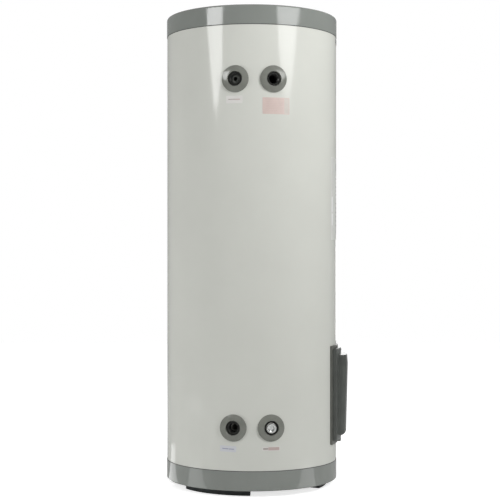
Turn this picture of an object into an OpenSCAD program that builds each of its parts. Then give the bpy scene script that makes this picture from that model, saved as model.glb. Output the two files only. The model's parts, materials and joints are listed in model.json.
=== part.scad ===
// Free-standing electric storage water heater.
// +Z up, origin on the tank's axis at floor level. The ports face -Y, the element cover faces +X.

/* [Casing] */
// Outside diameter of the top and base covers
casing_d = 600; // [560:1:680]
// Height of the casing from the floor to the top cover's shoulder
casing_h = 1636; // [1500:1:1800]
// Gap between the painted jacket and the skirts of the two covers
jacket_gap = 0.2; // [0.1:0.1:2]
// Sheet thickness of the jacket
jacket_t = 0.8; // [0.5:0.1:1.0]
// Sheet thickness of the two covers
cover_t = 1; // [0.6:0.1:1.0]
// Height of the top cover's skirt
top_skirt_h = 65; // [40:1:100]
// Height of the base cover's skirt
base_skirt_h = 65.6; // [40:1:90]
// Rise of the domed lid above its shoulder
lid_rise = 9; // [4:1:20]
// Radius of the lid's edge
lid_edge_r = 7; // [4:0.5:12]
// Radius of the base cover's lower edge
base_edge_r = 4; // [2:0.5:8]
// How far the jacket reaches inside each cover
jacket_lap = 20; // [10:1:30]

/* [Feet] */
// Height of the feet under the base cover
foot_h = 21.2; // [12:0.1:40]
// How far a foot's outer face stands inside the casing
foot_inset = 35; // [25:1:60]
// Radial width of a foot
foot_w = 35; // [25:1:45]
// Angle covered by one foot
foot_angle = 58; // [30:1:90]
// Number of feet
foot_count = 3; // [3:1:3]

/* [Pressure vessel] */
// Gap between the steel barrel and the outside of the casing
barrel_gap = 38; // [30:1:50]
// Wall of the barrel
barrel_t = 2.5; // [2:0.1:4]
// Rise of the domed ends
dome_rise = 85; // [60:1:110]
// Wall of the domed ends
dome_t = 3; // [2:0.1:4]
// Straight flange of the domed ends
dome_flange = 25; // [15:1:35]
// Foam thickness over the crown of the top dome
crown_foam = 54; // [45:1:80]
// Thickness of the insulating pad under the bottom dome
base_pad_t = 36; // [20:1:45]

/* [Pipe ports] */
// Outside diameter of the welded sockets
socket_d = 45; // [42:0.5:48]
// Thread minor diameter of the Rp1 ports
port_bore_d = 30.291; // [28:0.001:33]
// Depth of the threaded bore
port_thread_l = 28; // [20:1:32]
// Bore behind the thread
port_inner_d = 26; // [22:0.5:27]
// How far the sockets stand out of the casing radius
socket_proud = 1; // [0:0.5:4]
// Depth of the upper ports under the top cover's shoulder
upper_port_drop = 247; // [236:1:336]
// Height of the lower ports
lower_port_z = 231; // [200:1:260]
// Direction of the hot outlet, from the front towards the element side
hot_angle = -10.6; // [-16:0.1:-9]
// Direction of the relief valve port
relief_angle = 14; // [10:0.1:18]
// Direction of the cold inlet
cold_angle = -11.9; // [-16:0.1:-9.5]
// Direction of the drain port
drain_angle = 12.4; // [10:0.1:16]

/* [Port collars] */
// Outside diameter of a collar
collar_d = 90; // [80:1:96]
// Height of a collar's inner edge over the casing radius
collar_h = 8; // [5:0.5:12]
// Wall of a collar
collar_t = 2.2; // [1.5:0.1:3]
// Gap between a socket and its collar
collar_gap = 1.7; // [1:0.1:3]

/* [Drain plug] */
// How far the plug's head reaches past its thread
plug_rim = 1.85; // [1.5:0.05:5]
// Head thickness of the plug
plug_head_h = 5; // [4:0.5:8]
// Threaded length of the plug
plug_shank_l = 18; // [10:1:24]
// Hexagon recess across flats
plug_hex_af = 17; // [12:1:18]
// Thickness of the sealing washer
washer_t = 1.8; // [1:0.1:3]

/* [Element] */
// Height of the element flange's centre
element_z = 245; // [235:1:250]
// Diameter of the element flange and its port ring
flange_d = 100; // [90:1:104]
// From the bolt circle to the flange's edge
bolt_edge = 10; // [8:0.5:12]
// Number of flange bolts
bolt_count = 5; // [4:1:6]
// Bolt diameter
bolt_d = 8; // [6:1:10]
// Thickness of the flange
flange_t = 8; // [6:1:12]
// Thickness of the gasket
gasket_t = 3; // [2:0.5:4]
// Length of the element inside the tank
element_l = 380; // [250:5:450]
// Diameter of the element tube
element_d = 8; // [6.5:0.5:10]

/* [Thermostat] */
// Height of the thermostat's centre over the element flange's centre
thermostat_rise = 120; // [112:1:130]
// Width, height and depth of the thermostat body
thermostat_size = [46, 80, 30];
// Diameter of the temperature dial
dial_d = 24; // [18:1:30]
// Diameter of the reset button
button_d = 9; // [7:0.5:12]
// Travel of the reset button
button_travel = 2; // [1:0.5:3]

/* [Element cover] */
// Clear height in the window under the element flange
window_clear_low = 7; // [3:0.5:15]
// Clear height in the window over the terminal block
window_clear_top = 13; // [4:0.5:20]
// Width of the surround across its chord
frame_w = 257; // [240:1:290]
// How far the surround reaches below the window
frame_below = 38.5; // [36:0.5:44]
// How far the surround reaches above the window
frame_above = 45; // [42:0.5:60]
// Thickness of the surround over the casing
frame_t = 6; // [4:0.5:8]
// How far each side of the cover's lower step stands inside the surround
step_inset = 10.5; // [6:0.5:14]
// Rise of the cover's lower step over the casing radius
step_rise = 16; // [13:0.5:20]
// How far each side of the raised panel stands inside the step
panel_inset = 26; // [20:0.5:32]
// Rise of the raised panel over the casing radius
panel_rise = 40; // [36:0.5:46]
// How far each side of the window stands inside the raised panel
window_inset = 8; // [7:0.5:14]
// Rounding of the raised panel's upright edges
panel_edge_r = 14; // [8:1:18]
// Wall of the cover
shell_t = 2.5; // [2:0.1:3]
// Thickness of the seal behind the cover
seal_t = 2; // [1:0.5:3]

/* [Cable entry] */
// Outside diameter of the entry stub
entry_d = 18; // [16:0.5:18.5]
// Wall of the entry stub
entry_wall = 2.5; // [2:0.1:4]
// How far the entry stub hangs below the surround
entry_drop = 4.5; // [2:0.5:10]
// Length of the entry stub
entry_l = 39; // [36:1:42]

/* [Anode] */
// Diameter of the magnesium rod
anode_d = 21; // [16:1:27]
// Height of the magnesium rod's lower end
anode_end_z = 498; // [420:1:700]
// Diameter of the access cap's flange
cap_d = 84; // [76:1:96]

/* [Labels] */
// Depth of the rating label's centre under the top cover's shoulder
rating_label_drop = 636; // [400:1:800]
// Thickness of the stickers
label_t = 0.3; // [0.2:0.1:0.6]
// Thickness of the badge
badge_t = 1.2; // [0.8:0.1:2]

/* [Hidden] */
$fn = 96;

part_gap = 0.3;                 // between pieces that move apart
fit_gap = 0.06;                 // radial clearance of a running fit
weld_gap = 0.2;                 // between a welded ring and the hole it stands in
eps = 0.5;                      // how far a cutter runs past the face it cuts

casing_r = casing_d / 2;
jacket_r = casing_r - cover_t - jacket_gap;
foam_r = jacket_r - jacket_t;
skirt_ri = casing_r - cover_t;
base_z = foot_h;                // underside of the base cover
base_top = base_z + base_skirt_h;
skirt_z = casing_h - top_skirt_h;
jacket_z0 = base_top - jacket_lap;
jacket_z1 = skirt_z + jacket_lap;
lid_z = casing_h + lid_rise;    // crown of the lid

barrel_r = casing_r - barrel_gap;
barrel_ri = barrel_r - barrel_t;
floor_z = base_z + cover_t;     // top of the base cover's floor
foot_ri = casing_r - foot_inset - foot_w;
crown_z = lid_z - cover_t - crown_foam;
barrel_top = crown_z - dome_rise;
bottom_dome_z = floor_z + base_pad_t + 4;

upper_port_z = casing_h - upper_port_drop;
plug_head_d = port_bore_d + 2 * plug_rim;
socket_face = casing_r + socket_proud;
socket_back = barrel_r - 10;
sleeve_ri = socket_d / 2 + collar_gap;
sleeve_ro = sleeve_ri + collar_t;
port_hole_r = sleeve_ro + 0.5;  // hole through the jacket and the foam

// name, direction and height of each port
hot_port = [hot_angle, upper_port_z];
relief_port = [relief_angle, upper_port_z];
cold_port = [cold_angle, lower_port_z];
drain_port = [drain_angle, lower_port_z];
ports = [hot_port, relief_port, cold_port, drain_port];

port_x = barrel_r + 13;         // front face of the element port ring
bolt_pcd = flange_d - 2 * bolt_edge;
bolt_land = 9;                  // from the bolts to the edge of the bore
element_bore_r = bolt_pcd / 2 - bolt_land;
flange_x = port_x + gasket_t;
flange_face = flange_x + flange_t;
bolt_head_h = bolt_d * 0.65;
bolt_af = bolt_d * 1.625;
boss_r = flange_d * 0.24;
hairpin_gap = flange_d * 0.3;   // between the two legs of an element hairpin
hairpin_row = flange_d * 0.26;  // between the two hairpins
terminal_l = 20;

thermostat_z = element_z + thermostat_rise;
body_back = barrel_r + 0.5;     // back of the thermostat
body_front = body_back + thermostat_size[2];
dial_z = thermostat_z - thermostat_size[1] / 4;
button_z = thermostat_z + thermostat_size[1] / 4;
bracket_t = 1.5;
block_size = [54, 22, 24];      // terminal block
block_z = thermostat_z + thermostat_size[1] / 2 + block_size[1] / 2 + 6;
stud_y = 52;
stud_r = 2.5;
stud_x = sqrt(pow(barrel_r, 2) - pow(stud_y - stud_r, 2)); // where the stud's foot meets the barrel
wire_r = 1.6;

step_w = frame_w - 2 * step_inset;
panel_w = step_w - 2 * panel_inset;
window_w = panel_w - 2 * window_inset;
window_z = element_z - flange_d / 2 - window_clear_low;
window_top = block_z + block_size[1] / 2 + window_clear_top;
window_h = window_top - window_z;
frame_r = jacket_r + frame_t;
frame_z = window_z - frame_below;
frame_h = window_top + frame_above - frame_z;
step_r = casing_r + step_rise;
step_z = frame_z + step_inset;  // lower edge of the cover's step
step_top_lip = 0.5;             // step is this much taller at its head than at its foot
step_h = frame_h - 2 * step_inset + step_top_lip;
step_top = step_z + step_h;
panel_r = casing_r + panel_rise;
panel_over = [10, 11];          // raised panel beyond the window, below and above
panel_z = window_z - panel_over[0];
panel_top = window_top + panel_over[1];
panel_foot_r = 11;              // rounding under the raised panel
cover_back_r = frame_r + part_gap;
entry_z = frame_z - entry_drop;
entry_x = jacket_r + 0.4 + entry_d / 2;
screw_d = 3.5;
screw_head_d = 8;
// across and height of each cover screw
screw_inset = [56, 9, 11];      // from the step's sides, its foot and its head
low_screw_y = step_w / 2 - screw_inset[0];
low_screw_z = step_z + screw_inset[1];
screw_spots = [[0, step_top - screw_inset[2]], [-low_screw_y, low_screw_z], [low_screw_y, low_screw_z]];

cap_hole_r = cap_d / 2 - 8.5;
spigot_r = cap_hole_r - 0.5;
well_r = spigot_r - 3.5;        // well in the foam over the anode
anode_socket_h = 24;
anode_af = 27;
anode_thread_r = 13;
cap_flange_h = 4;
spigot_l = 8;

// points along an arc from angle a0 to a1 about c
function arc(c, r, a0, a1, n) =
    [for (i = [0:n]) c + r * [cos(a0 + (a1 - a0) * i / n), sin(a0 + (a1 - a0) * i / n)]];

// points on a quarter ellipse from the rim to the axis
function dome_line(a, b, z, n = 20) =
    [for (i = [0:n]) [a * cos(90 * i / n), z + b * sin(90 * i / n)]];

// points on the lid's shallow crown, from its edge to the axis
function lid_line(r, z0, rise, n = 10) =
    let (sphere_r = (r * r + rise * rise) / (2 * rise), top = z0 + rise)
    [for (i = [0:n]) let (x = r * (1 - i / n)) [x, top - sphere_r + sqrt(sphere_r * sphere_r - x * x)]];

// puts a shape made along +Z at a port: its axis radial, z = 0 on the tank's axis
module at_port(port) {
    rotate([0, 0, port[0] - 90]) translate([0, 0, port[1]]) rotate([0, 90, 0]) children();
}

// puts a shape made along +Z on the element side: its axis along +X
module facing_side(x, y, z) {
    translate([x, y, z]) rotate([0, 90, 0]) children();
}

module tube(ro, ri, h) {
    difference() {
        cylinder(r = ro, h = h);
        translate([0, 0, -eps]) cylinder(r = ri, h = h + 2 * eps);
    }
}

// ring about the tank's axis, kept to a half width on the element side
module side_band(r0, r1, w, z, h) {
    intersection() {
        translate([0, 0, z]) tube(r1, r0, h);
        translate([0, -w / 2, z]) cube([casing_r * 2, w, h]);
    }
}

// ---------------------------------------------------------------- casing

module jacket() {
    seam_a = 1.2;
    color("gainsboro") difference() {
        union() {
            translate([0, 0, jacket_z0]) tube(jacket_r, foam_r, jacket_z1 - jacket_z0);
            rotate([0, 0, 90 - seam_a]) rotate_extrude(angle = 2 * seam_a)
                translate([jacket_r - jacket_t / 2, base_top + 1])
                    square([jacket_t / 2 + 0.8, skirt_z - base_top - 2]);
        }
        for (p = ports) at_port(p) translate([0, 0, barrel_r])
            cylinder(r = port_hole_r, h = casing_r - barrel_r + 10);
        translate([barrel_r, -window_w / 2, window_z]) cube([casing_r, window_w, window_h]);
    }
}

module top_cover() {
    r = casing_r;
    t = cover_t;
    e = lid_edge_r;
    color("darkgray") difference() {
        rotate_extrude() polygon(concat(
            [[r, skirt_z]],
            arc([r - e, casing_h - e], e, 0, 90, 6),
            lid_line(r - e, casing_h, lid_rise),
            [[0, lid_z - t]],
            [for (i = [10:-1:0]) lid_line(r - e, casing_h - t, lid_rise)[i]],
            arc([r - e, casing_h - e], e - t, 90, 0, 6),
            [[r - t, skirt_z]]
        ));
        translate([0, 0, casing_h]) cylinder(r = cap_hole_r, h = lid_rise * 4, center = true);
    }
}

module base_cover() {
    r = casing_r;
    t = cover_t;
    e = base_edge_r;
    color("darkgray") difference() {
        rotate_extrude() polygon(concat(
            [[0, base_z]],
            arc([r - e, base_z + e], e, 270, 360, 6),
            [[r, base_top], [r - t, base_top]],
            arc([r - e, base_z + e], e - t, 360, 270, 6),
            [[0, floor_z]]
        ));
        for (i = [0:foot_count - 1]) foot_pegs(i, part_gap);
        translate([0, 0, base_z - eps]) cylinder(r = 12, h = cover_t + 2 * eps);
    }
}

// locating pegs on top of a foot, swollen by gap where they make a hole
module foot_pegs(i, gap) {
    for (a = [-1, 1]) rotate([0, 0, i * 360 / foot_count + a * foot_angle / 3])
        translate([foot_ri + foot_w / 2, 0, base_z - 2])
            cylinder(r = 6 + gap, h = cover_t + 6 + gap);
}

module foot(i) {
    c = 2.5;
    ro = foot_ri + foot_w;
    color("dimgray") union() {
        rotate([0, 0, i * 360 / foot_count - foot_angle / 2]) rotate_extrude(angle = foot_angle)
            polygon([[foot_ri + c, 0], [ro - c, 0], [ro, c], [ro, foot_h],
                [foot_ri, foot_h], [foot_ri, c]]);
        foot_pegs(i, 0);
    }
}
module foot_1() { foot(0); }
module foot_2() { foot(1); }
module foot_3() { foot(2); }

// ---------------------------------------------------------------- pressure vessel

module barrel() {
    color("lightsteelblue") difference() {
        translate([0, 0, floor_z]) tube(barrel_r, barrel_ri, barrel_top - floor_z);
        for (p = ports) at_port(p) translate([0, 0, barrel_r / 2])
            cylinder(r = socket_d / 2 + weld_gap, h = barrel_r);
        facing_side(barrel_r / 2, 0, element_z) cylinder(r = element_bore_r, h = barrel_r);
        for (i = [0:foot_count - 1]) foot_pegs(i, part_gap);
    }
}

// a domed end: flange from z - dome_flange up to z, crown above it
module dome_end(z, r) {
    rotate_extrude() polygon(concat(
        [[r - dome_t, z - dome_flange], [r, z - dome_flange]],
        dome_line(r, dome_rise, z),
        [for (i = [20:-1:0]) dome_line(r - dome_t, dome_rise - dome_t, z)[i]]
    ));
}

module top_dome() {
    color("lightsteelblue") difference() {
        dome_end(barrel_top, barrel_ri - weld_gap);
        cylinder(r = anode_thread_r + 7, h = lid_z);
    }
}

module bottom_dome() {
    color("lightsteelblue") dome_end(bottom_dome_z + dome_flange, barrel_ri - weld_gap);
}

module insulation() {
    color("khaki") difference() {
        translate([0, 0, floor_z]) rotate_extrude() polygon(concat(
            [[barrel_r + weld_gap, 0], [skirt_ri - base_edge_r, 0], [foam_r - 0.2, base_edge_r]],
            [[foam_r - 0.2, casing_h - lid_edge_r - floor_z]],
            [[foam_r - lid_edge_r, casing_h - cover_t - floor_z - 0.5]],
            [for (p = lid_line(foam_r - lid_edge_r - 1, casing_h - cover_t - 0.5, lid_rise - 0.5))
                p - [0, floor_z]],
            [[0, crown_z - floor_z + weld_gap]],
            [for (i = [19:-1:0]) dome_line(barrel_r, dome_rise + weld_gap, barrel_top)[i] - [0, floor_z]],
            [[barrel_r + weld_gap, barrel_top - floor_z]]
        ));
        for (p = ports) at_port(p) translate([0, 0, barrel_r / 2]) cylinder(r = port_hole_r, h = casing_r);
        translate([barrel_r / 2, -window_w / 2, window_z]) cube([casing_r, window_w, window_h]);
        translate([0, 0, crown_z - 20]) cylinder(r = well_r, h = lid_z);
        translate([0, 0, lid_z - cover_t - spigot_l - 2]) cylinder(r = cap_hole_r + 2, h = lid_z);
        for (i = [0:foot_count - 1]) foot_pegs(i, part_gap);
    }
}

module base_pad() {
    color("beige") difference() {
        translate([0, 0, floor_z]) cylinder(r = barrel_ri - 1, h = base_pad_t);
        for (i = [0:foot_count - 1]) foot_pegs(i, part_gap);
    }
}

// ---------------------------------------------------------------- ports

// welded socket: threaded outer bore, smaller bore behind it
module socket(port) {
    mouth = 1.5;
    color("darkslategray") at_port(port) difference() {
        translate([0, 0, socket_back]) cylinder(d = socket_d, h = socket_face - socket_back);
        translate([0, 0, socket_face - port_thread_l]) cylinder(d = port_bore_d, h = port_thread_l + eps);
        translate([0, 0, socket_back - eps]) cylinder(d = port_inner_d, h = socket_face);
        translate([0, 0, socket_face - mouth])
            cylinder(r1 = port_bore_d / 2, r2 = port_bore_d / 2 + mouth + 0.1, h = mouth + 0.1);
    }
}
module hot_outlet_socket() { socket(hot_port); }
module relief_valve_socket() { socket(relief_port); }
module cold_inlet_socket() { socket(cold_port); }
module drain_socket() { socket(drain_port); }

// convex collar on the jacket, with a sleeve that lines the hole
module collar(port) {
    rim = collar_d / 2;
    edge = 1.2;                 // height of the rim over the casing radius
    top = casing_r + collar_h;
    color("slategray") union() {
        difference() {
            at_port(port) rotate_extrude() polygon([
                [sleeve_ri + 0.9, top], [sleeve_ro + 0.6, top], [rim, casing_r + edge],
                [rim, casing_r - 8], [rim - collar_t, casing_r - 8],
                [rim - collar_t, casing_r + edge - collar_t], [sleeve_ro, top - collar_t * 1.4],
                [sleeve_ro, casing_r - 3], [sleeve_ri, casing_r - 3], [sleeve_ri, top - 0.9]
            ]);
            translate([0, 0, port[1] - collar_d]) cylinder(r = jacket_r, h = collar_d * 2);
        }
        at_port(port) translate([0, 0, foam_r - 16]) tube(sleeve_ro, sleeve_ri, casing_r + 1 - foam_r + 16);
    }
}
module hot_outlet_collar() { collar(hot_port); }
module relief_valve_collar() { collar(relief_port); }
module cold_inlet_collar() { collar(cold_port); }
module drain_collar() { collar(drain_port); }

// draw-off pipe: through the hot socket, then up to the top of the vessel
module hot_outlet_liner() {
    ro = port_inner_d / 2 - 0.25;
    ri = 9.5;
    bend_r = 26;
    turn = barrel_r - 50;       // radius at which the pipe stands upright
    rise = barrel_top + 20 - upper_port_z - bend_r;
    color("ivory") rotate([0, 0, hot_angle - 90]) union() {
        translate([turn + bend_r, 0, upper_port_z]) rotate([0, 90, 0])
            tube(ro, ri, socket_face - port_thread_l - 1 - turn - bend_r);
        translate([turn + bend_r, 0, upper_port_z + bend_r]) rotate([90, 0, 0])
            rotate([0, 0, 180]) rotate_extrude(angle = 90) translate([bend_r, 0]) difference() {
                circle(r = ro);
                circle(r = ri);
            }
        translate([turn, 0, upper_port_z + bend_r]) tube(ro, ri, rise);
    }
}

// closed pipe with side slots that spreads the cold water
module cold_inlet_diffuser() {
    ro = port_inner_d / 2 - 0.25;
    ri = ro - 2;
    l = 100;
    color("ivory") at_port(cold_port) translate([0, 0, socket_face - port_thread_l - 1 - l]) difference() {
        cylinder(r = ro, h = l);
        translate([0, 0, 3]) cylinder(r = ri, h = l);
        for (a = [0, 60, 120], z = [12, 30]) rotate([0, 0, a]) translate([-ro * 2, -3, z])
            cube([ro * 4, 6, 10]);
    }
}

washer_z = socket_face + part_gap;
head_z = washer_z + washer_t + part_gap;

module drain_washer() {
    color("whitesmoke") at_port(drain_port) translate([0, 0, washer_z])
        tube(plug_head_d / 2 + 0.5, port_bore_d / 2 + 0.2, washer_t);
}

module drain_plug() {
    r = port_bore_d / 2 - fit_gap;
    h = plug_head_h;
    color("silver") at_port(drain_port) difference() {
        union() {
            translate([0, 0, head_z - plug_shank_l]) cylinder(r = r, h = plug_shank_l + eps);
            translate([0, 0, head_z]) cylinder(d = plug_head_d, h = h - 1);
            translate([0, 0, head_z + h - 1])
                cylinder(r1 = plug_head_d / 2, r2 = plug_head_d / 2 - 1, h = 1);
        }
        translate([0, 0, head_z - 4]) cylinder(r = plug_hex_af / sqrt(3), h = h + 5, $fn = 6);
        translate([0, 0, head_z - plug_shank_l - eps]) cylinder(r = r - 4, h = plug_shank_l - 8);
    }
}

// ---------------------------------------------------------------- element

// children() at each flange bolt, made along +Z
module at_bolts(x) {
    for (i = [0:bolt_count - 1]) facing_side(x, 0, element_z)
        rotate([0, 0, i * 360 / bolt_count]) translate([bolt_pcd / 2, 0, 0]) children();
}

module element_port() {
    color("steelblue") difference() {
        facing_side(barrel_ri, 0, element_z) cylinder(d = flange_d, h = port_x - barrel_ri);
        translate([0, 0, element_z - flange_d]) cylinder(r = barrel_r, h = flange_d * 2);
        facing_side(barrel_ri - eps, 0, element_z) cylinder(r = element_bore_r, h = flange_d);
        at_bolts(port_x - 11) cylinder(d = bolt_d + 0.2, h = 12);
    }
}

module element_gasket() {
    color("black") facing_side(port_x, 0, element_z)
        tube(bolt_pcd / 2 - bolt_d / 2 - 2, element_bore_r - 2, gasket_t);
}

module element_flange() {
    color("darkgoldenrod") difference() {
        union() {
            facing_side(flange_x, 0, element_z) cylinder(d = flange_d, h = flange_t);
            facing_side(flange_x, 0, element_z) cylinder(r = boss_r, h = flange_t + 4);
        }
        at_bolts(flange_x - eps) cylinder(d = bolt_d + 1, h = flange_t + 2 * eps);
        for (y = [-1, 1], z = [-1, 1])
            facing_side(flange_x - eps, y * hairpin_gap / 2, element_z + z * hairpin_row / 2)
            cylinder(d = element_d, h = flange_t + 5);
    }
}

// two hairpin tubes
module element_tubes() {
    tail = flange_face + 7;
    color("dimgray") for (z = [-1, 1]) translate([0, 0, element_z + z * hairpin_row / 2]) union() {
        for (y = [-1, 1]) facing_side(tail - element_l, y * hairpin_gap / 2, 0)
            cylinder(d = element_d, h = element_l);
        translate([tail - element_l, 0, 0]) rotate([0, 0, 90])
            rotate_extrude(angle = 180) translate([hairpin_gap / 2, 0]) circle(d = element_d);
    }
}

module element_terminals() {
    color("gold") for (y = [-1, 1], z = [-1, 1])
        translate([flange_face + 7, y * hairpin_gap / 2 - 0.4, element_z + z * hairpin_row / 2 - 3.15])
            cube([terminal_l - 8, 0.8, 6.3]);
}

module element_bolts() {
    color("silver") at_bolts(port_x - 9) union() {
        cylinder(d = bolt_d, h = flange_face - port_x + 9 + eps);
        translate([0, 0, flange_face - port_x + 9])
            cylinder(r = bolt_af / sqrt(3), h = bolt_head_h, $fn = 6);
    }
}

// ---------------------------------------------------------------- thermostat and wiring

module thermostat_bracket() {
    y = thermostat_size[0] / 2 + part_gap;
    x = barrel_r + 0.1;
    color("lightgray") for (s = [0, 1]) mirror([0, s, 0]) union() {
        translate([x, y, thermostat_z - 18]) cube([thermostat_size[2] * 0.7, bracket_t, 36]);
        translate([x, y, thermostat_z - 14]) cube([bracket_t, 16, 28]);
    }
}

module thermostat_body() {
    s = thermostat_size;
    color("white") difference() {
        union() {
            translate([body_back, -s[0] / 2, thermostat_z - s[1] / 2]) cube([s[2] - 8, s[0], s[1]]);
            translate([body_back, -s[0] / 2 + 5, thermostat_z - s[1] / 2 + 4])
                cube([s[2], s[0] - 10, s[1] - 8]);
        }
        facing_side(body_front - 6, 0, dial_z) cylinder(r = 3 + fit_gap, h = 7);
        facing_side(body_front - 9, 0, button_z) cylinder(d = button_d - 3 + 2 * fit_gap, h = 10);
        facing_side(body_front - 5, 0, button_z) cylinder(r = button_d / 2 + 0.4, h = 6);
    }
}

module thermostat_dial() {
    color("firebrick") difference() {
        union() {
            facing_side(body_front - 5, 0, dial_z) cylinder(r = 3, h = 5 + part_gap + 2);
            facing_side(body_front + part_gap, 0, dial_z) cylinder(d = dial_d, h = 4);
        }
        translate([body_front + 3, -dial_d / 2 + 4, dial_z - 1]) cube([4, dial_d - 8, 2]);
        translate([body_front + 2, -1, dial_z + dial_d / 2 - 3.5]) cube([5, 2, 5]);
    }
}

module reset_button() {
    color("red") union() {
        facing_side(body_front - 8 + button_travel, 0, button_z) cylinder(d = button_d - 3, h = 8);
        facing_side(body_front - 5 + button_travel + 0.4, 0, button_z) cylinder(d = button_d, h = 5.5);
    }
}

module terminal_block() {
    s = block_size;
    color("ivory") difference() {
        translate([barrel_r + 1, -s[0] / 2, block_z - s[1] / 2]) cube([s[2], s[0], s[1]]);
        for (i = [-1:1]) facing_side(barrel_r + 1 + s[2] - 6, i * 16, block_z) cylinder(r = 4, h = 7);
    }
}

module earth_stud() {
    color("gold") union() {
        facing_side(stud_x, stud_y, dial_z) cylinder(r = stud_r, h = 18);
        facing_side(stud_x + 5.5, stud_y, dial_z) cylinder(r = 8 / sqrt(3), h = 4, $fn = 6);
    }
}

// unit vector along a route at point i
function heading(p, i) =
    let (a = p[max(i - 1, 0)], b = p[min(i + 1, len(p) - 1)]) (b - a) / norm(b - a);

// a round lead swept along a route, one ring of sides at each point
module lead(route, r, sides = 8) {
    n = len(route);
    rings = [for (i = [0:n - 1])
        let (t = heading(route, i), u0 = cross(t, [1, 0.2, 0.1]), u = u0 / norm(u0), v = cross(t, u))
        for (k = [0:sides - 1]) route[i] + r * (cos(360 * k / sides) * u + sin(360 * k / sides) * v)];
    walls = [for (i = [0:n - 2], k = [0:sides - 1])
        let (a = i * sides + k, b = i * sides + (k + 1) % sides)
        [a, a + sides, b + sides, b]];
    polyhedron(rings, concat([[for (k = [0:sides - 1]) k]], walls,
        [[for (k = [sides - 1:-1:0]) (n - 1) * sides + k]]));
}

// smooth route through a few hand-placed points
function curve(p, steps = 5) =
    concat([for (i = [0:len(p) - 2], s = [0:steps - 1]) spline(p, i, s / steps)], [p[len(p) - 1]]);
function spline(p, i, t) =
    let (a = p[max(i - 1, 0)], b = p[i], c = p[i + 1], d = p[min(i + 2, len(p) - 1)])
    0.5 * (2 * b + (c - a) * t + (2 * a - 5 * b + 4 * c - d) * t * t + (3 * b - a - 3 * c + d) * t * t * t);

block_front = barrel_r + 1 + block_size[2];
terminal_x = flange_face + 7 + terminal_l - 8;
tab_y = hairpin_gap / 2;
tab_z = element_z + hairpin_row / 2;
lug_y = -thermostat_size[0] / 2 - part_gap;

module active_wire() {
    color("brown") lead(curve([
        [block_front + part_gap, -16, block_z], [block_front + 12, -18, block_z - 4],
        [block_front + 8, -30, block_z - 12], [body_back + 15, -35, thermostat_z + 34],
        [body_back + 12, -31, thermostat_z + 29], [body_back + 12, lug_y, thermostat_z + 29]
    ]), wire_r);
}

module neutral_wire() {
    color("royalblue") lead(curve([
        [block_front + part_gap, 0, block_z], [block_front + 12, 6, block_z - 3],
        [block_front + 10, 32, block_z - 18], [body_back + 22, 36, thermostat_z],
        [body_back + 24, 34, dial_z - 30], [terminal_x + 14, tab_y + 7, tab_z + 27],
        [terminal_x + 12, tab_y, tab_z + 5], [terminal_x + part_gap, tab_y, tab_z]
    ]), wire_r);
}

module switched_wire() {
    color("chocolate") lead(curve([
        [body_back + 12, lug_y, thermostat_z - 29], [body_back + 12, -31, thermostat_z - 29],
        [body_back + 22, -36, dial_z - 26], [terminal_x + 14, -tab_y - 9, tab_z + 27],
        [terminal_x + 12, -tab_y, tab_z + 5], [terminal_x + part_gap, -tab_y, tab_z]
    ]), wire_r);
}

module earth_wire() {
    color("limegreen") lead(curve([
        [block_front + part_gap, 16, block_z], [block_front + 10, 24, block_z - 4],
        [block_front + 4, 44, block_z - 20], [block_front - 4, 58, dial_z + 40],
        [block_front - 4, 58, dial_z + 16], [block_front - 6, stud_y, dial_z + 4.6]
    ]), wire_r);
}

// ---------------------------------------------------------------- element cover

module screw_holes(r) {
    for (p = screw_spots) facing_side(barrel_r, p[0], p[1]) cylinder(r = r, h = casing_r);
}

module cover_frame() {
    color("#2e2f2d") difference() {
        side_band(jacket_r, frame_r, frame_w, frame_z, frame_h);
        translate([barrel_r, -window_w / 2, window_z]) cube([casing_r, window_w, window_h]);
        screw_holes(screw_d / 2 + part_gap);
        translate([entry_x, 0, frame_z - 10]) cylinder(d = entry_d, h = entry_z + entry_l - frame_z + 10);
    }
}

module cover_seal() {
    w = 4;                      // width of the seal's bead
    color("black") difference() {
        side_band(frame_r, frame_r + seal_t, window_w + 2 * w, window_z - w, window_h + 2 * w);
        translate([barrel_r, -window_w / 2, window_z]) cube([casing_r, window_w, window_h]);
    }
}

// outline in plan of the raised panel: front arc and two rounded corners, drawn in by inset
module panel_plan(inset) {
    w = panel_w / 2 - inset;
    r = panel_r - inset;
    e = panel_edge_r - inset;
    across = w - e;
    along = sqrt((r - e) * (r - e) - across * across);
    a = atan2(across, along);
    polygon(concat(
        [[barrel_r, -w], [along, -w]],
        arc([along, -across], e, -90, -a, 6),
        arc([0, 0], r, -a, a, 12),
        arc([along, across], e, a, 90, 6),
        [[barrel_r, w]]
    ));
}

// the raised panel: its plan, trimmed by a turned profile that leans back at the foot and the head
module panel_solid(inset) {
    r = panel_r - inset;
    foot = panel_r - 6 - inset;
    e = panel_foot_r - inset;
    z0 = panel_z + inset;
    z1 = panel_top - inset;
    intersection() {
        translate([0, 0, z0]) linear_extrude(z1 - z0) panel_plan(inset);
        rotate_extrude() polygon(concat(
            [[barrel_r, z0]],
            arc([foot - e, z0 + e], e, -90, 0, 6),
            [[r, z1 - 33], [r - 4, z1 - 1], [r - 6, z1], [barrel_r, z1]]
        ));
    }
}

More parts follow.
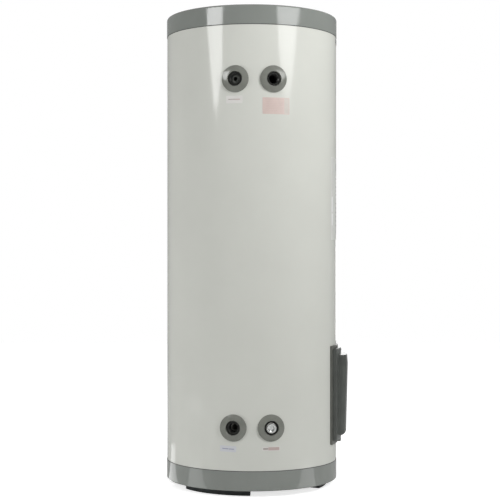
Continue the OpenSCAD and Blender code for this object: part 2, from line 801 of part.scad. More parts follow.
module access_cover() {
    t = shell_t;
    seat = 5;                   // radius of the flat seat under a screw head
    color("#3a3b39") difference() {
        union() {
            side_band(cover_back_r, step_r, step_w, step_z, step_h);
            panel_solid(0);
        }
        side_band(barrel_r, step_r - t, step_w - 2 * t, step_z + t, step_h - 2 * t);
        panel_solid(t);
        translate([0, 0, frame_z]) cylinder(r = cover_back_r, h = frame_h);
        for (p = screw_spots) facing_side(screw_seat(p), p[0], p[1]) cylinder(r = seat, h = 40);
        screw_holes(screw_d / 2 + 0.25);
        translate([barrel_r, -entry_d / 2 - part_gap, frame_z])
            cube([entry_x + entry_d / 2 + 8 - barrel_r, entry_d + 2 * part_gap,
                entry_z + entry_l + 1 - frame_z]);
    }
}

// x of the flat under a screw's head
function screw_seat(p) = sqrt(step_r * step_r - (abs(p[0]) + 5) * (abs(p[0]) + 5)) - 0.6;

module cover_screws() {
    color("silver") for (p = screw_spots) difference() {
        union() {
            facing_side(screw_seat(p) - 13, p[0], p[1]) cylinder(d = screw_d, h = 13 + eps);
            facing_side(screw_seat(p), p[0], p[1]) cylinder(d = screw_head_d, h = 1.6);
            facing_side(screw_seat(p) + 1.6, p[0], p[1])
                cylinder(r1 = screw_head_d / 2, r2 = screw_head_d / 2 - 1.5, h = 1);
        }
        for (a = [0, 90]) facing_side(screw_seat(p) + 1.2, p[0], p[1]) rotate([0, 0, a])
            translate([-2.2, -0.5, 0]) cube([4.4, 1, 3]);
    }
}

module cable_entry() {
    lip = 1.2;
    color("#262726") difference() {
        translate([entry_x, 0, entry_z]) union() {
            cylinder(d = entry_d - 2 * lip, h = 5);
            translate([0, 0, 4]) cylinder(d = entry_d, h = entry_l - 4);
        }
        translate([entry_x, 0, entry_z - eps])
            cylinder(d = entry_d - 2 * entry_wall, h = entry_l + 2 * eps);
    }
}

// ---------------------------------------------------------------- anode

module anode_socket() {
    color("steelblue") translate([0, 0, crown_z - 12])
        tube(anode_thread_r + 6.5, anode_thread_r + 0.1, anode_socket_h + 12);
}

head_seat = crown_z + anode_socket_h;
head_shank = 26;
core_l = 40;
rod_top = head_seat - head_shank - core_l;

module anode_head() {
    color("darkgoldenrod") union() {
        translate([0, 0, head_seat - head_shank]) cylinder(r = anode_thread_r, h = head_shank + eps);
        translate([0, 0, head_seat]) cylinder(r = anode_af / sqrt(3), h = 12, $fn = 6);
    }
}

module anode_core() {
    color("dimgray") translate([0, 0, rod_top]) cylinder(r = 3, h = core_l);
}

module anode_rod() {
    color("silver") translate([0, 0, anode_end_z]) cylinder(d = anode_d, h = rod_top - anode_end_z);
}

module anode_plug() {
    bottom = head_seat + 12 + 0.5;
    color("lemonchiffon") translate([0, 0, bottom])
        cylinder(r = well_r - 0.5, h = lid_z - cover_t - 1 - bottom);
}

module anode_cap() {
    under = lid_z + part_gap;
    grip = [44, 9, 5];
    color("slategray") union() {
        translate([0, 0, under]) cylinder(d = cap_d, h = cap_flange_h - 1.5);
        translate([0, 0, under + cap_flange_h - 1.5]) cylinder(r1 = cap_d / 2, r2 = cap_d / 2 - 3, h = 1.5);
        translate([0, 0, under - spigot_l]) tube(spigot_r, spigot_r - 2, spigot_l + eps);
        translate([-grip[0] / 2, -grip[1] / 2, under + cap_flange_h - eps])
            cube([grip[0], grip[1], grip[2] + eps]);
    }
}

// ---------------------------------------------------------------- labels

// sticker of width w and height h on the jacket, t thick, its long side turned by tilt
module sticker(angle, z, w, h, t, tilt = 0) {
    corner = 2;
    intersection() {
        translate([0, 0, z - h - w]) tube(jacket_r + t, jacket_r, 2 * (h + w));
        at_port([angle, z]) rotate([0, 0, tilt]) translate([0, 0, barrel_r])
            linear_extrude(casing_r) union() {
            square([h, w - 2 * corner], center = true);
            square([h - 2 * corner, w], center = true);
            for (x = [-1, 1], y = [-1, 1])
                translate([x * (h / 2 - corner), y * (w / 2 - corner)]) circle(r = corner);
        }
    }
}

// a port's label, its centre below the collar's edge, aside by some degrees
module port_label(port, aside, below, w, h, tilt = 0) {
    sticker(port[0] + aside, port[1] - collar_d / 2 - below, w, h, label_t, tilt);
}

module hot_outlet_label() { color("mistyrose") port_label(hot_port, -0.6, 23.5, 55, 25); }
module relief_valve_label() { color("lightcoral") port_label(relief_port, 1.8, 44, 93, 55); }
module cold_inlet_label() { color("lavender") port_label(cold_port, -3.4, 24.5, 56, 20, 2); }
module drain_label() { color("lavenderblush") port_label(drain_port, 0.1, 24, 61, 14); }
module rating_label() { color("white") sticker(90, casing_h - rating_label_drop, 240, 286, label_t); }
module badge() { color("silver") sticker(90, skirt_z - 16.6, 130, 16, badge_t); }

jacket();
top_cover();
base_cover();
foot_1();
foot_2();
foot_3();
barrel();
top_dome();
bottom_dome();
insulation();
base_pad();
hot_outlet_socket();
relief_valve_socket();
cold_inlet_socket();
drain_socket();
hot_outlet_collar();
relief_valve_collar();
cold_inlet_collar();
drain_collar();
hot_outlet_liner();
cold_inlet_diffuser();
drain_plug();
drain_washer();
element_port();
element_gasket();
element_flange();
element_tubes();
element_terminals();
element_bolts();
thermostat_bracket();
thermostat_body();
thermostat_dial();
reset_button();
terminal_block();
earth_stud();
active_wire();
neutral_wire();
switched_wire();
earth_wire();
cover_frame();
cover_seal();
access_cover();
cover_screws();
cable_entry();
anode_socket();
anode_head();
anode_core();
anode_rod();
anode_plug();
anode_cap();
hot_outlet_label();
relief_valve_label();
cold_inlet_label();
drain_label();
rating_label();
badge();
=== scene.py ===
import json
import math

import bmesh
import bpy
from mathutils import Matrix, Vector


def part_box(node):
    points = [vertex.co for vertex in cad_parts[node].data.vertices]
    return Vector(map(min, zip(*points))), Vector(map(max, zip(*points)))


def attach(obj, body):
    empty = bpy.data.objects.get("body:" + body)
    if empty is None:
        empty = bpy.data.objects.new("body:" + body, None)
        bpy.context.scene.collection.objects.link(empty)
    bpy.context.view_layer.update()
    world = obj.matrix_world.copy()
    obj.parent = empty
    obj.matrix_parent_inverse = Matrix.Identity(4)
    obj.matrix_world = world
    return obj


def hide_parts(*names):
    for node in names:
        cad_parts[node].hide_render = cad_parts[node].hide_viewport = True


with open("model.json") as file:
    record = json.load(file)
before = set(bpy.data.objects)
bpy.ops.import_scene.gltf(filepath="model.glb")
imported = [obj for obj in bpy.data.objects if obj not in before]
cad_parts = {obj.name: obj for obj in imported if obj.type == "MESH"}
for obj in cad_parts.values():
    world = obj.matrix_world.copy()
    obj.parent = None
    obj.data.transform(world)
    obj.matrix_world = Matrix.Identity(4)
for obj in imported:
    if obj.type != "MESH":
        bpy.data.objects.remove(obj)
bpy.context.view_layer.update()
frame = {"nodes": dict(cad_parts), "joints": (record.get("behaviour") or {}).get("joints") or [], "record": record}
mounts = {m["name"]: m for m in frame["record"]["mounts"]}
print("frame loaded:", len(frame["nodes"]), "nodes")


# what the frame gives

coverLo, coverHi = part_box("top_cover")
baseLo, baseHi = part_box("base_cover")
jacketLo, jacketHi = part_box("jacket")
casingR = coverHi.x
jacketR = jacketHi.x
elementDir = 90                        # the element side looks along +X


def middle(node):
    lo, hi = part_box(node)
    return (lo + hi) / 2


def facing(angle, z=0.0):
    # local x runs across, y up and z outwards, with the origin on the tank's axis
    a = math.radians(angle)
    return Matrix((
        (math.cos(a), 0, math.sin(a), 0),
        (math.sin(a), 0, -math.cos(a), 0),
        (0, 1, 0, z),
        (0, 0, 0, 1),
    ))


def elementAt(across, z):
    # a spot on the element side, with local z outwards
    return Matrix.Translation((0, across, z)) @ facing(elementDir)


def bearingOf(x, y):
    return math.degrees(math.atan2(x, -y))         # from the front, towards the element side


ports = {}
for portName, mountName in (("hot_outlet", "hot_outlet"), ("relief_valve", "relief_valve_port"),
                            ("cold_inlet", "cold_inlet")):
    mount = mounts[mountName]
    ports[portName] = (bearingOf(*mount["axis"][:2]), mount["pos_m"][2])
drainAxis = next(j for j in frame["joints"] if j["name"] == "drain_turn")["axis"]
ports["drain"] = (bearingOf(*drainAxis[:2]), ports["cold_inlet"][1])


# materials

even = (1, 1, 1)


looks = {}     # this script's materials by name: the frame brings its own brass and magnesium


def newMaterial(name, colour, rough, extra):
    mat = looks[name] = bpy.data.materials.new(name)
    mat.use_nodes = True
    sockets = mat.node_tree.nodes["Principled BSDF"].inputs
    sockets["Base Color"].default_value = (*colour, 1)
    sockets["Roughness"].default_value = rough
    for key, value in extra.items():
        sockets[key].default_value = value
    return mat


def noiseNode(mat, scale, detail=3.0, stretch=even):
    nodes, links = mat.node_tree.nodes, mat.node_tree.links
    place = nodes.new("ShaderNodeTexCoord")
    mapping = nodes.new("ShaderNodeMapping")
    mapping.inputs["Scale"].default_value = stretch
    noise = nodes.new("ShaderNodeTexNoise")
    noise.inputs["Scale"].default_value = scale
    noise.inputs["Detail"].default_value = detail
    links.new(place.outputs["Object"], mapping.inputs["Vector"])
    links.new(mapping.outputs["Vector"], noise.inputs["Vector"])
    return noise


def ramp(mat, source, low, high, a=0.35, b=0.65):
    nodes, links = mat.node_tree.nodes, mat.node_tree.links
    r = nodes.new("ShaderNodeValToRGB")
    r.color_ramp.elements[0].position = a
    r.color_ramp.elements[1].position = b
    r.color_ramp.elements[0].color = (*low, 1)
    r.color_ramp.elements[1].color = (*high, 1)
    links.new(source, r.inputs["Fac"])
    return r.outputs["Color"]


def tint(mat, scale, low, high, detail=4.0, stretch=even, a=0.35, b=0.65):
    colour = ramp(mat, noiseNode(mat, scale, detail, stretch).outputs["Fac"], low, high, a, b)
    mat.node_tree.links.new(colour, mat.node_tree.nodes["Principled BSDF"].inputs["Base Color"])
    return colour


def roughen(mat, scale, low, high, detail=3.0, stretch=even):
    nodes, links = mat.node_tree.nodes, mat.node_tree.links
    spread = nodes.new("ShaderNodeMapRange")
    spread.inputs["From Min"].default_value = 0.3
    spread.inputs["From Max"].default_value = 0.7
    spread.inputs["To Min"].default_value = low
    spread.inputs["To Max"].default_value = high
    links.new(noiseNode(mat, scale, detail, stretch).outputs["Fac"], spread.inputs["Value"])
    links.new(spread.outputs["Result"], nodes["Principled BSDF"].inputs["Roughness"])


def relief(mat, layers):
    nodes, links = mat.node_tree.nodes, mat.node_tree.links
    before = None
    for scale, height, stretch in ((*layer, even)[:3] for layer in layers):
        bump = nodes.new("ShaderNodeBump")
        bump.inputs["Strength"].default_value = 1.0
        bump.inputs["Distance"].default_value = height
        links.new(noiseNode(mat, scale, 2.0, stretch).outputs["Fac"], bump.inputs["Height"])
        if before:
            links.new(before.outputs["Normal"], bump.inputs["Normal"])
        before = bump
    links.new(before.outputs["Normal"], nodes["Principled BSDF"].inputs["Normal"])


def shade(colour, k):
    return tuple(c * k for c in colour)


def makeMaterial(name, colour, rough, hues, spread, layers, extra):
    mat = newMaterial(name, colour, rough, extra)
    tint(mat, *hues)
    roughen(mat, *spread)
    relief(mat, layers)


paints = {
    "jacketColour": (0.665, 0.672, 0.625),
    "jacketGloss": 0.38,
    "coverColour": (0.235, 0.25, 0.232),
    "coverGloss": 0.62,
}
jacket, cover = paints["jacketColour"], paints["coverColour"]

# each material: colour and roughness, then the patterns of its colour (scale, low, high, detail), its roughness
# (scale, low, high) and its relief (scale, height in metres, stretch), and what else differs from a plain shader
materialValues = {
    "jacketPaint": (jacket, 0.15, (5, shade(jacket, 0.985), shade(jacket, 1.01)), (22, 0.08, 0.12),
        [(3.2, 0.0007, (1, 1, 0.45)), (520, 0.000006)], {"Specular IOR Level": paints["jacketGloss"]}),
    "coverPaint": (cover, 0.13, (7, shade(cover, 0.96), shade(cover, 1.04)), (30, 0.08, 0.13),
        [(6, 0.0003, (1, 1, 0.6)), (560, 0.000007)], {"Specular IOR Level": paints["coverGloss"]}),
    "footMoulding": ((0.030, 0.034, 0.034), 0.5, (40, (0.026, 0.030, 0.030), (0.040, 0.044, 0.044)),
        (90, 0.42, 0.62), [(900, 0.00003)], {}),
    "vesselSteel": ((0.045, 0.050, 0.055), 0.5, (9, (0.030, 0.034, 0.040), (0.075, 0.078, 0.080), 6),
        (30, 0.38, 0.62), [(260, 0.00004), (14, 0.0003)], {"Metallic": 0.35}),
    "foamFill": ((0.72, 0.60, 0.33), 0.9, (60, (0.62, 0.49, 0.24), (0.80, 0.69, 0.42), 8), (120, 0.82, 0.96),
        [(420, 0.0005), (60, 0.001)], {}),
    "socketSteel": ((0.010, 0.011, 0.009), 0.32, (150, (0.006, 0.007, 0.005), (0.018, 0.018, 0.016), 6),
        (200, 0.24, 0.42), [(900, 0.00002)], {"Metallic": 0.3}),
    "ferruleSteel": ((0.12, 0.125, 0.115), 0.3, (120, (0.09, 0.095, 0.088), (0.16, 0.165, 0.152), 5),
        (200, 0.22, 0.38), [(900, 0.00001)], {"Metallic": 0.8}),
    "collarMoulding": ((0.200, 0.205, 0.182), 0.18, (45, (0.186, 0.192, 0.169), (0.214, 0.220, 0.195)),
        (120, 0.13, 0.22), [(700, 0.00001), (24, 0.0001)], {"Specular IOR Level": 0.6}),
    "linerPlastic": ((0.40, 0.40, 0.36), 0.35, (60, (0.36, 0.36, 0.32), (0.45, 0.45, 0.41)), (100, 0.28, 0.42),
        [(500, 0.00002)], {}),
    "plugChrome": ((0.74, 0.75, 0.74), 0.16, (90, (0.66, 0.67, 0.66), (0.80, 0.81, 0.80), 5), (260, 0.10, 0.26),
        [(700, 0.00002)], {"Metallic": 1.0}),
    "fibreWasher": ((0.70, 0.69, 0.64), 0.6, (300, (0.62, 0.60, 0.55), (0.78, 0.77, 0.72), 6), (300, 0.5, 0.72),
        [(1500, 0.00004)], {}),
    "softRubber": ((0.012, 0.012, 0.012), 0.7, (160, (0.009, 0.009, 0.009), (0.020, 0.020, 0.020)),
        (300, 0.6, 0.82), [(1300, 0.00005)], {}),
    "brass": ((0.62, 0.44, 0.17), 0.28, (110, (0.50, 0.34, 0.12), (0.70, 0.52, 0.23), 5), (240, 0.2, 0.4),
        [(800, 0.00002)], {"Metallic": 1.0}),
    "heaterTube": ((0.16, 0.15, 0.14), 0.38, (70, (0.09, 0.08, 0.075), (0.23, 0.21, 0.19), 5), (200, 0.3, 0.5),
        [(600, 0.00003)], {"Metallic": 0.9}),
    "zincPlate": ((0.58, 0.59, 0.58), 0.3, (120, (0.50, 0.51, 0.51), (0.66, 0.66, 0.63), 5), (240, 0.22, 0.42),
        [(900, 0.00002)], {"Metallic": 1.0}),
    "galvanised": ((0.44, 0.45, 0.45), 0.42, (180, (0.34, 0.35, 0.36), (0.54, 0.55, 0.55), 2, even, 0.45, 0.55),
        (180, 0.34, 0.52), [(300, 0.00003)], {"Metallic": 1.0}),
    "phenolic": ((0.62, 0.60, 0.53), 0.35, (80, (0.57, 0.55, 0.48), (0.67, 0.65, 0.58)), (160, 0.28, 0.44),
        [(800, 0.00002)], {}),
    "dialMoulding": ((0.33, 0.035, 0.025), 0.32, (90, (0.29, 0.028, 0.020), (0.38, 0.045, 0.032)),
        (180, 0.26, 0.40), [(900, 0.00002)], {}),
    "buttonMoulding": ((0.48, 0.020, 0.016), 0.28, (160, (0.43, 0.015, 0.012), (0.53, 0.028, 0.022)),
        (240, 0.22, 0.36), [(1100, 0.00002)], {}),
    "coverMoulding": ((0.080, 0.086, 0.079), 0.30, (30, (0.073, 0.079, 0.072), (0.088, 0.095, 0.087)),
        (140, 0.28, 0.33), [(620, 0.000004), (9, 0.00012)], {"Specular IOR Level": 0.5}),
    "frameMoulding": ((0.112, 0.115, 0.102), 0.36, (30, (0.102, 0.105, 0.093), (0.123, 0.126, 0.112)),
        (140, 0.30, 0.42), [(620, 0.000007)], {}),
    "magnesium": ((0.50, 0.50, 0.50), 0.5, (50, (0.38, 0.38, 0.38), (0.60, 0.60, 0.60), 6), (90, 0.4, 0.65),
        [(200, 0.0001, (1, 1, 0.2))], {"Metallic": 0.9}),
    "capMoulding": ((0.125, 0.130, 0.126), 0.36, (40, (0.112, 0.118, 0.114), (0.142, 0.147, 0.143)),
        (130, 0.3, 0.44), [(1200, 0.00003)], {}),
    "brightPlate": ((0.55, 0.56, 0.56), 0.26, (60, (0.48, 0.49, 0.49), (0.62, 0.63, 0.63), 4, (0.05, 0.05, 6)),
        (300, 0.2, 0.34, 2, (0.05, 0.05, 5)), [(500, 0.00001, (0.05, 0.05, 5))], {"Metallic": 1.0}),
}
papers = {
    "paperCream": (0.700, 0.685, 0.660),
    "paperPink": (0.635, 0.515, 0.475),
    "paperLilac": (0.610, 0.620, 0.650),
    "paperSilver": (0.46, 0.47, 0.46),
    "paperRating": (0.665, 0.672, 0.640),
    "inkRose": (0.53, 0.42, 0.40),
    "inkBrown": (0.43, 0.38, 0.36),
    "inkBlue": (0.33, 0.34, 0.45),
    "inkGrey": (0.17, 0.17, 0.17),
    "inkPale": (0.86, 0.87, 0.86),
    "inkSoft": (0.615, 0.485, 0.448),
    "inkTaupe": (0.585, 0.535, 0.490),
}
sleeves = {
    "wireBrown": (0.13, 0.050, 0.022),
    "wireBlue": (0.025, 0.075, 0.36),
    "wireOrange": (0.52, 0.17, 0.025),
}

for name, row in materialValues.items():
    makeMaterial(name, *row)
for name, colour in papers.items():
    makeMaterial(name, colour, 0.4, (60, shade(colour, 0.97), shade(colour, 1.02)), (300, 0.34, 0.48),
                 [(2200, 0.000008), (30, 0.00008)], {"Coat Weight": 0.25, "Coat Roughness": 0.2})
for name, colour in sleeves.items():
    makeMaterial(name, colour, 0.36, (120, shade(colour, 0.9), shade(colour, 1.08)), (260, 0.3, 0.44),
                 [(900, 0.00002)], {})


def stripedSleeve():
    mat = newMaterial("wireEarth", (0.09, 0.33, 0.04), 0.36, {})
    nodes, links = mat.node_tree.nodes, mat.node_tree.links
    place = nodes.new("ShaderNodeTexCoord")
    wave = nodes.new("ShaderNodeTexWave")
    wave.inputs["Scale"].default_value = 190
    wave.inputs["Distortion"].default_value = 1.5
    links.new(place.outputs["Object"], wave.inputs["Vector"])
    colour = ramp(mat, wave.outputs["Fac"], (0.07, 0.28, 0.035), (0.62, 0.55, 0.03), 0.62, 0.70)
    links.new(colour, nodes["Principled BSDF"].inputs["Base Color"])
    roughen(mat, 260, 0.3, 0.44)
    relief(mat, [(900, 0.00002)])


stripedSleeve()
print("materials:", len(bpy.data.materials))


# mesh helpers: each adds a shape to a bmesh, in the row frame

def addObject(name, data):
    obj = bpy.data.objects.new(name, data)
    bpy.context.scene.collection.objects.link(obj)
    return obj


def meshObject(name, bm):
    mesh = bpy.data.meshes.new(name)
    bm.to_mesh(mesh)
    bm.free()
    return addObject(name, mesh)


def addRings(bm, rings, matrix=None, mat=0, around=False):
    # skins closed rows of points; around joins the last row to the first
    rows = [[bm.verts.new(matrix @ Vector(p) if matrix else Vector(p)) for p in ring] for ring in rings]
    pairs = list(zip(rows, rows[1:] + ([rows[0]] if around else [])))
    for a, b in pairs[:len(rows) if around else len(rows) - 1]:
        n = len(a)
        for i in range(n):
            j = (i + 1) % n
            bm.faces.new((a[i], a[j], b[j], b[i])).material_index = mat
    return rows


def addLathe(bm, profile, matrix=None, segs=96, mat=0, around=False):
    # turns (radius, height) points about z
    return addRings(bm, [ringOf(r, z, segs) for r, z in profile], matrix, mat, around)


def addPin(bm, radius, z0, z1, matrix, segs):
    addLathe(bm, [(0, z0), (radius, z0), (radius, z1), (0, z1)], matrix, segs)


def addGrid(bm, points):
    # a patch of quads over rows of points, kept by row and column
    grid = [[bm.verts.new(p) for p in row] for row in points]
    return {(j, i): bm.faces.new((grid[j][i], grid[j][i + 1], grid[j + 1][i + 1], grid[j + 1][i]))
            for j in range(len(grid) - 1) for i in range(len(grid[0]) - 1)}


def ringOf(radius, height, sides):
    # a closed ring about z; the radius is a number, or a function of the angle
    angles = [2 * math.pi * k / sides for k in range(sides)]
    reach = [radius(a) if callable(radius) else radius for a in angles]
    return [(r * math.cos(a), r * math.sin(a), height) for r, a in zip(reach, angles)]


def knurled(radius, depth, teeth):
    return lambda a: radius - depth * (0.5 + 0.5 * math.cos(teeth * a))


def addBox(bm, centre, size, edge=0.0005, matrix=None, mat=0, steps=2):
    made = bmesh.ops.create_cube(bm, size=1)["verts"]
    for v in made:
        v.co = Vector(centre) + Vector(v.co[k] * size[k] for k in range(3))
    edges = list(dict.fromkeys(e for v in made for e in v.link_edges))
    made = bmesh.ops.bevel(bm, geom=edges, offset=edge, segments=steps, profile=0.5, affect="EDGES")
    for v in {v for f in made["faces"] for v in f.verts}:
        if matrix:
            v.co = matrix @ v.co
        for f in v.link_faces:
            f.material_index = mat


def addHex(bm, across, z0, z1, matrix, chamfer):
    r = across / math.sqrt(3)
    rows = [(0, z0), (r, z0), (r, z1 - chamfer), (r - chamfer * 1.6, z1), (0, z1)]
    addLathe(bm, rows, matrix, 6)


def addTube(bm, points, radius, sides=14, mat=0):
    # a round tube along given points, smoothed
    path = []
    for i in range(len(points) - 1):
        a, b = Vector(points[max(i - 1, 0)]), Vector(points[i])
        c, d = Vector(points[i + 1]), Vector(points[min(i + 2, len(points) - 1)])
        for s in range(8):
            t = s / 8
            path.append(0.5 * (2 * b + (c - a) * t + (2 * a - 5 * b + 4 * c - d) * t * t
                               + (3 * b - a - 3 * c + d) * t ** 3))
    path.append(Vector(points[-1]))
    rings = []
    side = None
    for i, p in enumerate(path):
        t = (path[min(i + 1, len(path) - 1)] - path[max(i - 1, 0)]).normalized()
        side = t.orthogonal().normalized() if side is None else (side - t * side.dot(t)).normalized()
        up = t.cross(side)
        rings.append([p + radius * (math.cos(q) * side + math.sin(q) * up)
                      for q in (2 * math.pi * k / sides for k in range(sides))])
    rows = addRings(bm, rings, None, mat)
    for row in (list(reversed(rows[0])), rows[-1]):
        bm.faces.new(row).material_index = mat


def arcPoints(cx, cz, r, a0, a1, n):
    return [(cx + r * math.cos(math.radians(a0 + (a1 - a0) * i / n)),
             cz + r * math.sin(math.radians(a0 + (a1 - a0) * i / n))) for i in range(n + 1)]


def smooth(obj, sharp):
    obj.data.shade_smooth()
    obj.data.set_sharp_from_angle(angle=math.radians(sharp))
    weighted = obj.modifiers.new("weightedNormals", "WEIGHTED_NORMAL")
    weighted.keep_sharp = True
    weighted.weight = 80


def finishPiece(bm, name, node, materials, sharp=30, body="tank"):
    # node is the one the piece stands for, if any
    bmesh.ops.remove_doubles(bm, verts=bm.verts, dist=2e-6)
    flat = [f for f in bm.faces if f.calc_area() < 1e-13]
    bmesh.ops.delete(bm, geom=flat, context="FACES_ONLY")
    bmesh.ops.recalc_face_normals(bm, faces=bm.faces)
    obj = meshObject(name, bm)
    for m in materials:
        obj.data.materials.append(looks[m])
    smooth(obj, sharp)
    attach(obj, body)
    if node:
        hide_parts(node)
    return obj


def cutAway(obj, bm, sharp=30):
    # takes the cutter's solid out of the piece
    obj.modifiers.clear()
    bmesh.ops.remove_doubles(bm, verts=bm.verts, dist=1e-6)
    bmesh.ops.recalc_face_normals(bm, faces=bm.faces)
    tool = meshObject("cutter", bm)
    cut = obj.modifiers.new("cut", "BOOLEAN")
    cut.operation = "DIFFERENCE"
    cut.solver = "EXACT"
    cut.object = tool
    shown = obj.evaluated_get(bpy.context.evaluated_depsgraph_get())
    mesh = bpy.data.meshes.new_from_object(shown)
    obj.modifiers.clear()
    obj.data = mesh
    bpy.data.objects.remove(tool)
    if sharp:
        smooth(obj, sharp)


def outline(halfW, z0, z1, corner, us, vs, steps=6):
    # a rounded rectangle as (across, height, side), side telling bottom 0, right 1, top 2, left 3
    w = halfW - corner
    lo, hi = z0 + corner, z1 - corner
    pts = [(-w + 2 * w * u, z0, 0.0) for u in us]
    corners = [(w, lo, -90, 0.0), (w, hi, 0, 1.0), (-w, hi, 90, 2.0), (-w, lo, 180, 3.0)]
    sides = [None,
             [(halfW, lo + (hi - lo) * v, 1.0) for v in vs],
             [(w - 2 * w * u, z1, 2.0) for u in us],
             [(-halfW, hi - (hi - lo) * v, 3.0) for v in vs]]
    for k, (cy, cz, a0, s) in enumerate(corners):
        for i in range(1, steps):
            a = math.radians(a0 + 90 * i / steps)
            pts.append((cy + corner * math.cos(a), cz + corner * math.sin(a), s + i / steps))
        if k < 3:
            pts += sides[k + 1]
    return pts


def onCylinder(across, z, r, angle):
    a = math.radians(angle)
    out = math.sqrt(max(r * r - across * across, 0))
    return (across * math.cos(a) + out * math.sin(a), across * math.sin(a) - out * math.cos(a), z)


def wrapped(r, *shape):
    # an outline laid on a cylinder round the tank, on the element side
    return [onCylinder(y, z, r, elementDir) for y, z, side in outline(*shape)]


def steps01(n):
    return [i / n for i in range(n + 1)]


# stage, camera and lights

stageValues = {
    "cameraDistance": 4.428,
    "cameraHeight": 0.8025,
    "lens": 89.8,
    "shiftX": -0.0035,
    "shiftY": 0.01132,
    "worldLevel": 0.30,
    "backdropLevel": 1.0,
    "floorSize": 14.0,
    "floorGlow": 0.74,
    "glossTop": 2.9,               # the panels' upper edge as seen in gloss, and as it lights the paint
    "lightTop": 4.0,
    # each panel: direction, distance from the axis, level in gloss and as light, outline (across, height)
    "panels": {
        "leftPanel": (-52, 3.0, 8.4, 2.4, [(-0.36, 2.07), (0.16, 1.62), (0.38, 1.62), (0.75, 1.81),
                                           (0.80, 2.16), (0.80, 4.0), (-0.36, 4.0)]),
        "rightPanel": (51, 3.0, 5.6, 8.0, [(-1.03, 2.17), (-0.95, 2.08), (-0.90, 1.96), (-0.445, 1.69),
                                           (-0.04, 1.69), (0.34, 1.95), (0.445, 2.07), (0.70, 2.17),
                                           (0.72, 4.0), (-1.03, 4.0)]),
        "rearCard": (180, 0.9, 3.0, 0, [(-0.52, 0.44), (-0.34, 0.44), (-0.34, 0.90), (-0.52, 0.90)]),
    },
    # low cards that the base cover mirrors: where each starts and ends on the floor
    "floorCards": {
        "floorCardA": (-0.22, -0.25, -0.80, -0.33),
        "floorCardB": (-0.31, -0.08, -0.98, 0.56),
        "floorCardC": (0.22, -0.25, 0.80, -0.33),
    },
    "floorCardGlow": 1.85,
    "floorCardHalves": (0.055, 0.13),
    "floorCardZ": 0.003,
    "aim": (0, 0, 0.9),
    "fills": {                     # each lamp: its place, its size and its power
        "topFill": ((0.5, -1.6, 3.9), (3.0, 2.0), 2.0),
        "backFill": ((-2.6, 2.6, 2.0), (1.5, 2.0), 8.0),
        "lowFill": ((-3.0, -0.8, 0.5), (1.5, 1.0), 25.0),
        "sideFill": ((3.2, -0.5, 0.8), (1.0, 1.0), 3.0),
    },
}


def makeStage():
    v = stageValues
    cam = bpy.data.cameras.new("camera")
    cam.lens = v["lens"]
    cam.sensor_width = 36
    cam.shift_x = v["shiftX"]
    cam.shift_y = v["shiftY"]
    camObj = addObject("camera", cam)
    camObj.location = (0, -v["cameraDistance"], v["cameraHeight"])
    camObj.rotation_euler = (math.radians(90), 0, 0)
    bpy.context.scene.camera = camObj
    bpy.context.scene.view_settings.view_transform = "Standard"

    world = bpy.data.worlds.new("studio")
    bpy.context.scene.world = world
    world.use_nodes = True
    nodes, links = world.node_tree.nodes, world.node_tree.links
    nodes.clear()
    ray = nodes.new("ShaderNodeLightPath")
    mix = nodes.new("ShaderNodeMixShader")
    out = nodes.new("ShaderNodeOutputWorld")
    links.new(ray.outputs["Is Camera Ray"], mix.inputs["Fac"])
    for k, (colour, level) in enumerate((((0.985, 1.0, 0.99, 1), v["worldLevel"]),
                                         ((1, 1, 1, 1), v["backdropLevel"]))):
        sky = nodes.new("ShaderNodeBackground")
        sky.inputs["Color"].default_value = colour
        sky.inputs["Strength"].default_value = level
        links.new(sky.outputs["Background"], mix.inputs[k + 1])
    links.new(mix.outputs["Shader"], out.inputs["Surface"])

    bm = bmesh.new()
    bmesh.ops.create_grid(bm, x_segments=8, y_segments=8, size=v["floorSize"] / 2)
    floor = meshObject("floor", bm)
    floorPaint = newMaterial("floorPaint", (0.92, 0.92, 0.92), 0.9, {"Emission Color": (1, 1, 1, 1)})
    nodes, links = floorPaint.node_tree.nodes, floorPaint.node_tree.links
    ray = nodes.new("ShaderNodeLightPath")
    glow = nodes.new("ShaderNodeMath")
    glow.operation = "MULTIPLY"
    glow.inputs[1].default_value = v["floorGlow"]
    links.new(ray.outputs["Is Camera Ray"], glow.inputs[0])
    links.new(glow.outputs["Value"], nodes["Principled BSDF"].inputs["Emission Strength"])
    tint(floorPaint, 2, (0.91, 0.91, 0.91), (0.93, 0.93, 0.93))
    floor.data.materials.append(floorPaint)

    for name, (place, size, watts) in v["fills"].items():
        lamp = bpy.data.lights.new(name, "AREA")
        lamp.shape = "RECTANGLE"
        lamp.size, lamp.size_y = size
        lamp.energy = watts
        obj = addObject(name, lamp)
        obj.location = place
        obj.rotation_euler = (Vector(v["aim"]) - obj.location).to_track_quat("-Z", "Y").to_euler()
        obj.visible_glossy = False

    for name, (angle, reach, gloss, light, shape) in v["panels"].items():
        for use, strength, top in (("Gloss", gloss, v["glossTop"]), ("Light", light, v["lightTop"])):
            if strength:
                corners = [facing(angle) @ Vector((x, min(z, top), reach)) for x, z in shape]
                addCard(name + use, corners, strength, use)
    near, far = v["floorCardHalves"]
    for name, (x0, y0, x1, y1) in v["floorCards"].items():
        along = Vector((x1 - x0, y1 - y0, 0)).normalized()
        side = Vector((-along.y, along.x, 0))
        start, end = Vector((x0, y0, v["floorCardZ"])), Vector((x1, y1, v["floorCardZ"]))
        corners = [start - side * near, end - side * far, end + side * far, start + side * near]
        addCard(name, corners, v["floorCardGlow"], "Gloss")


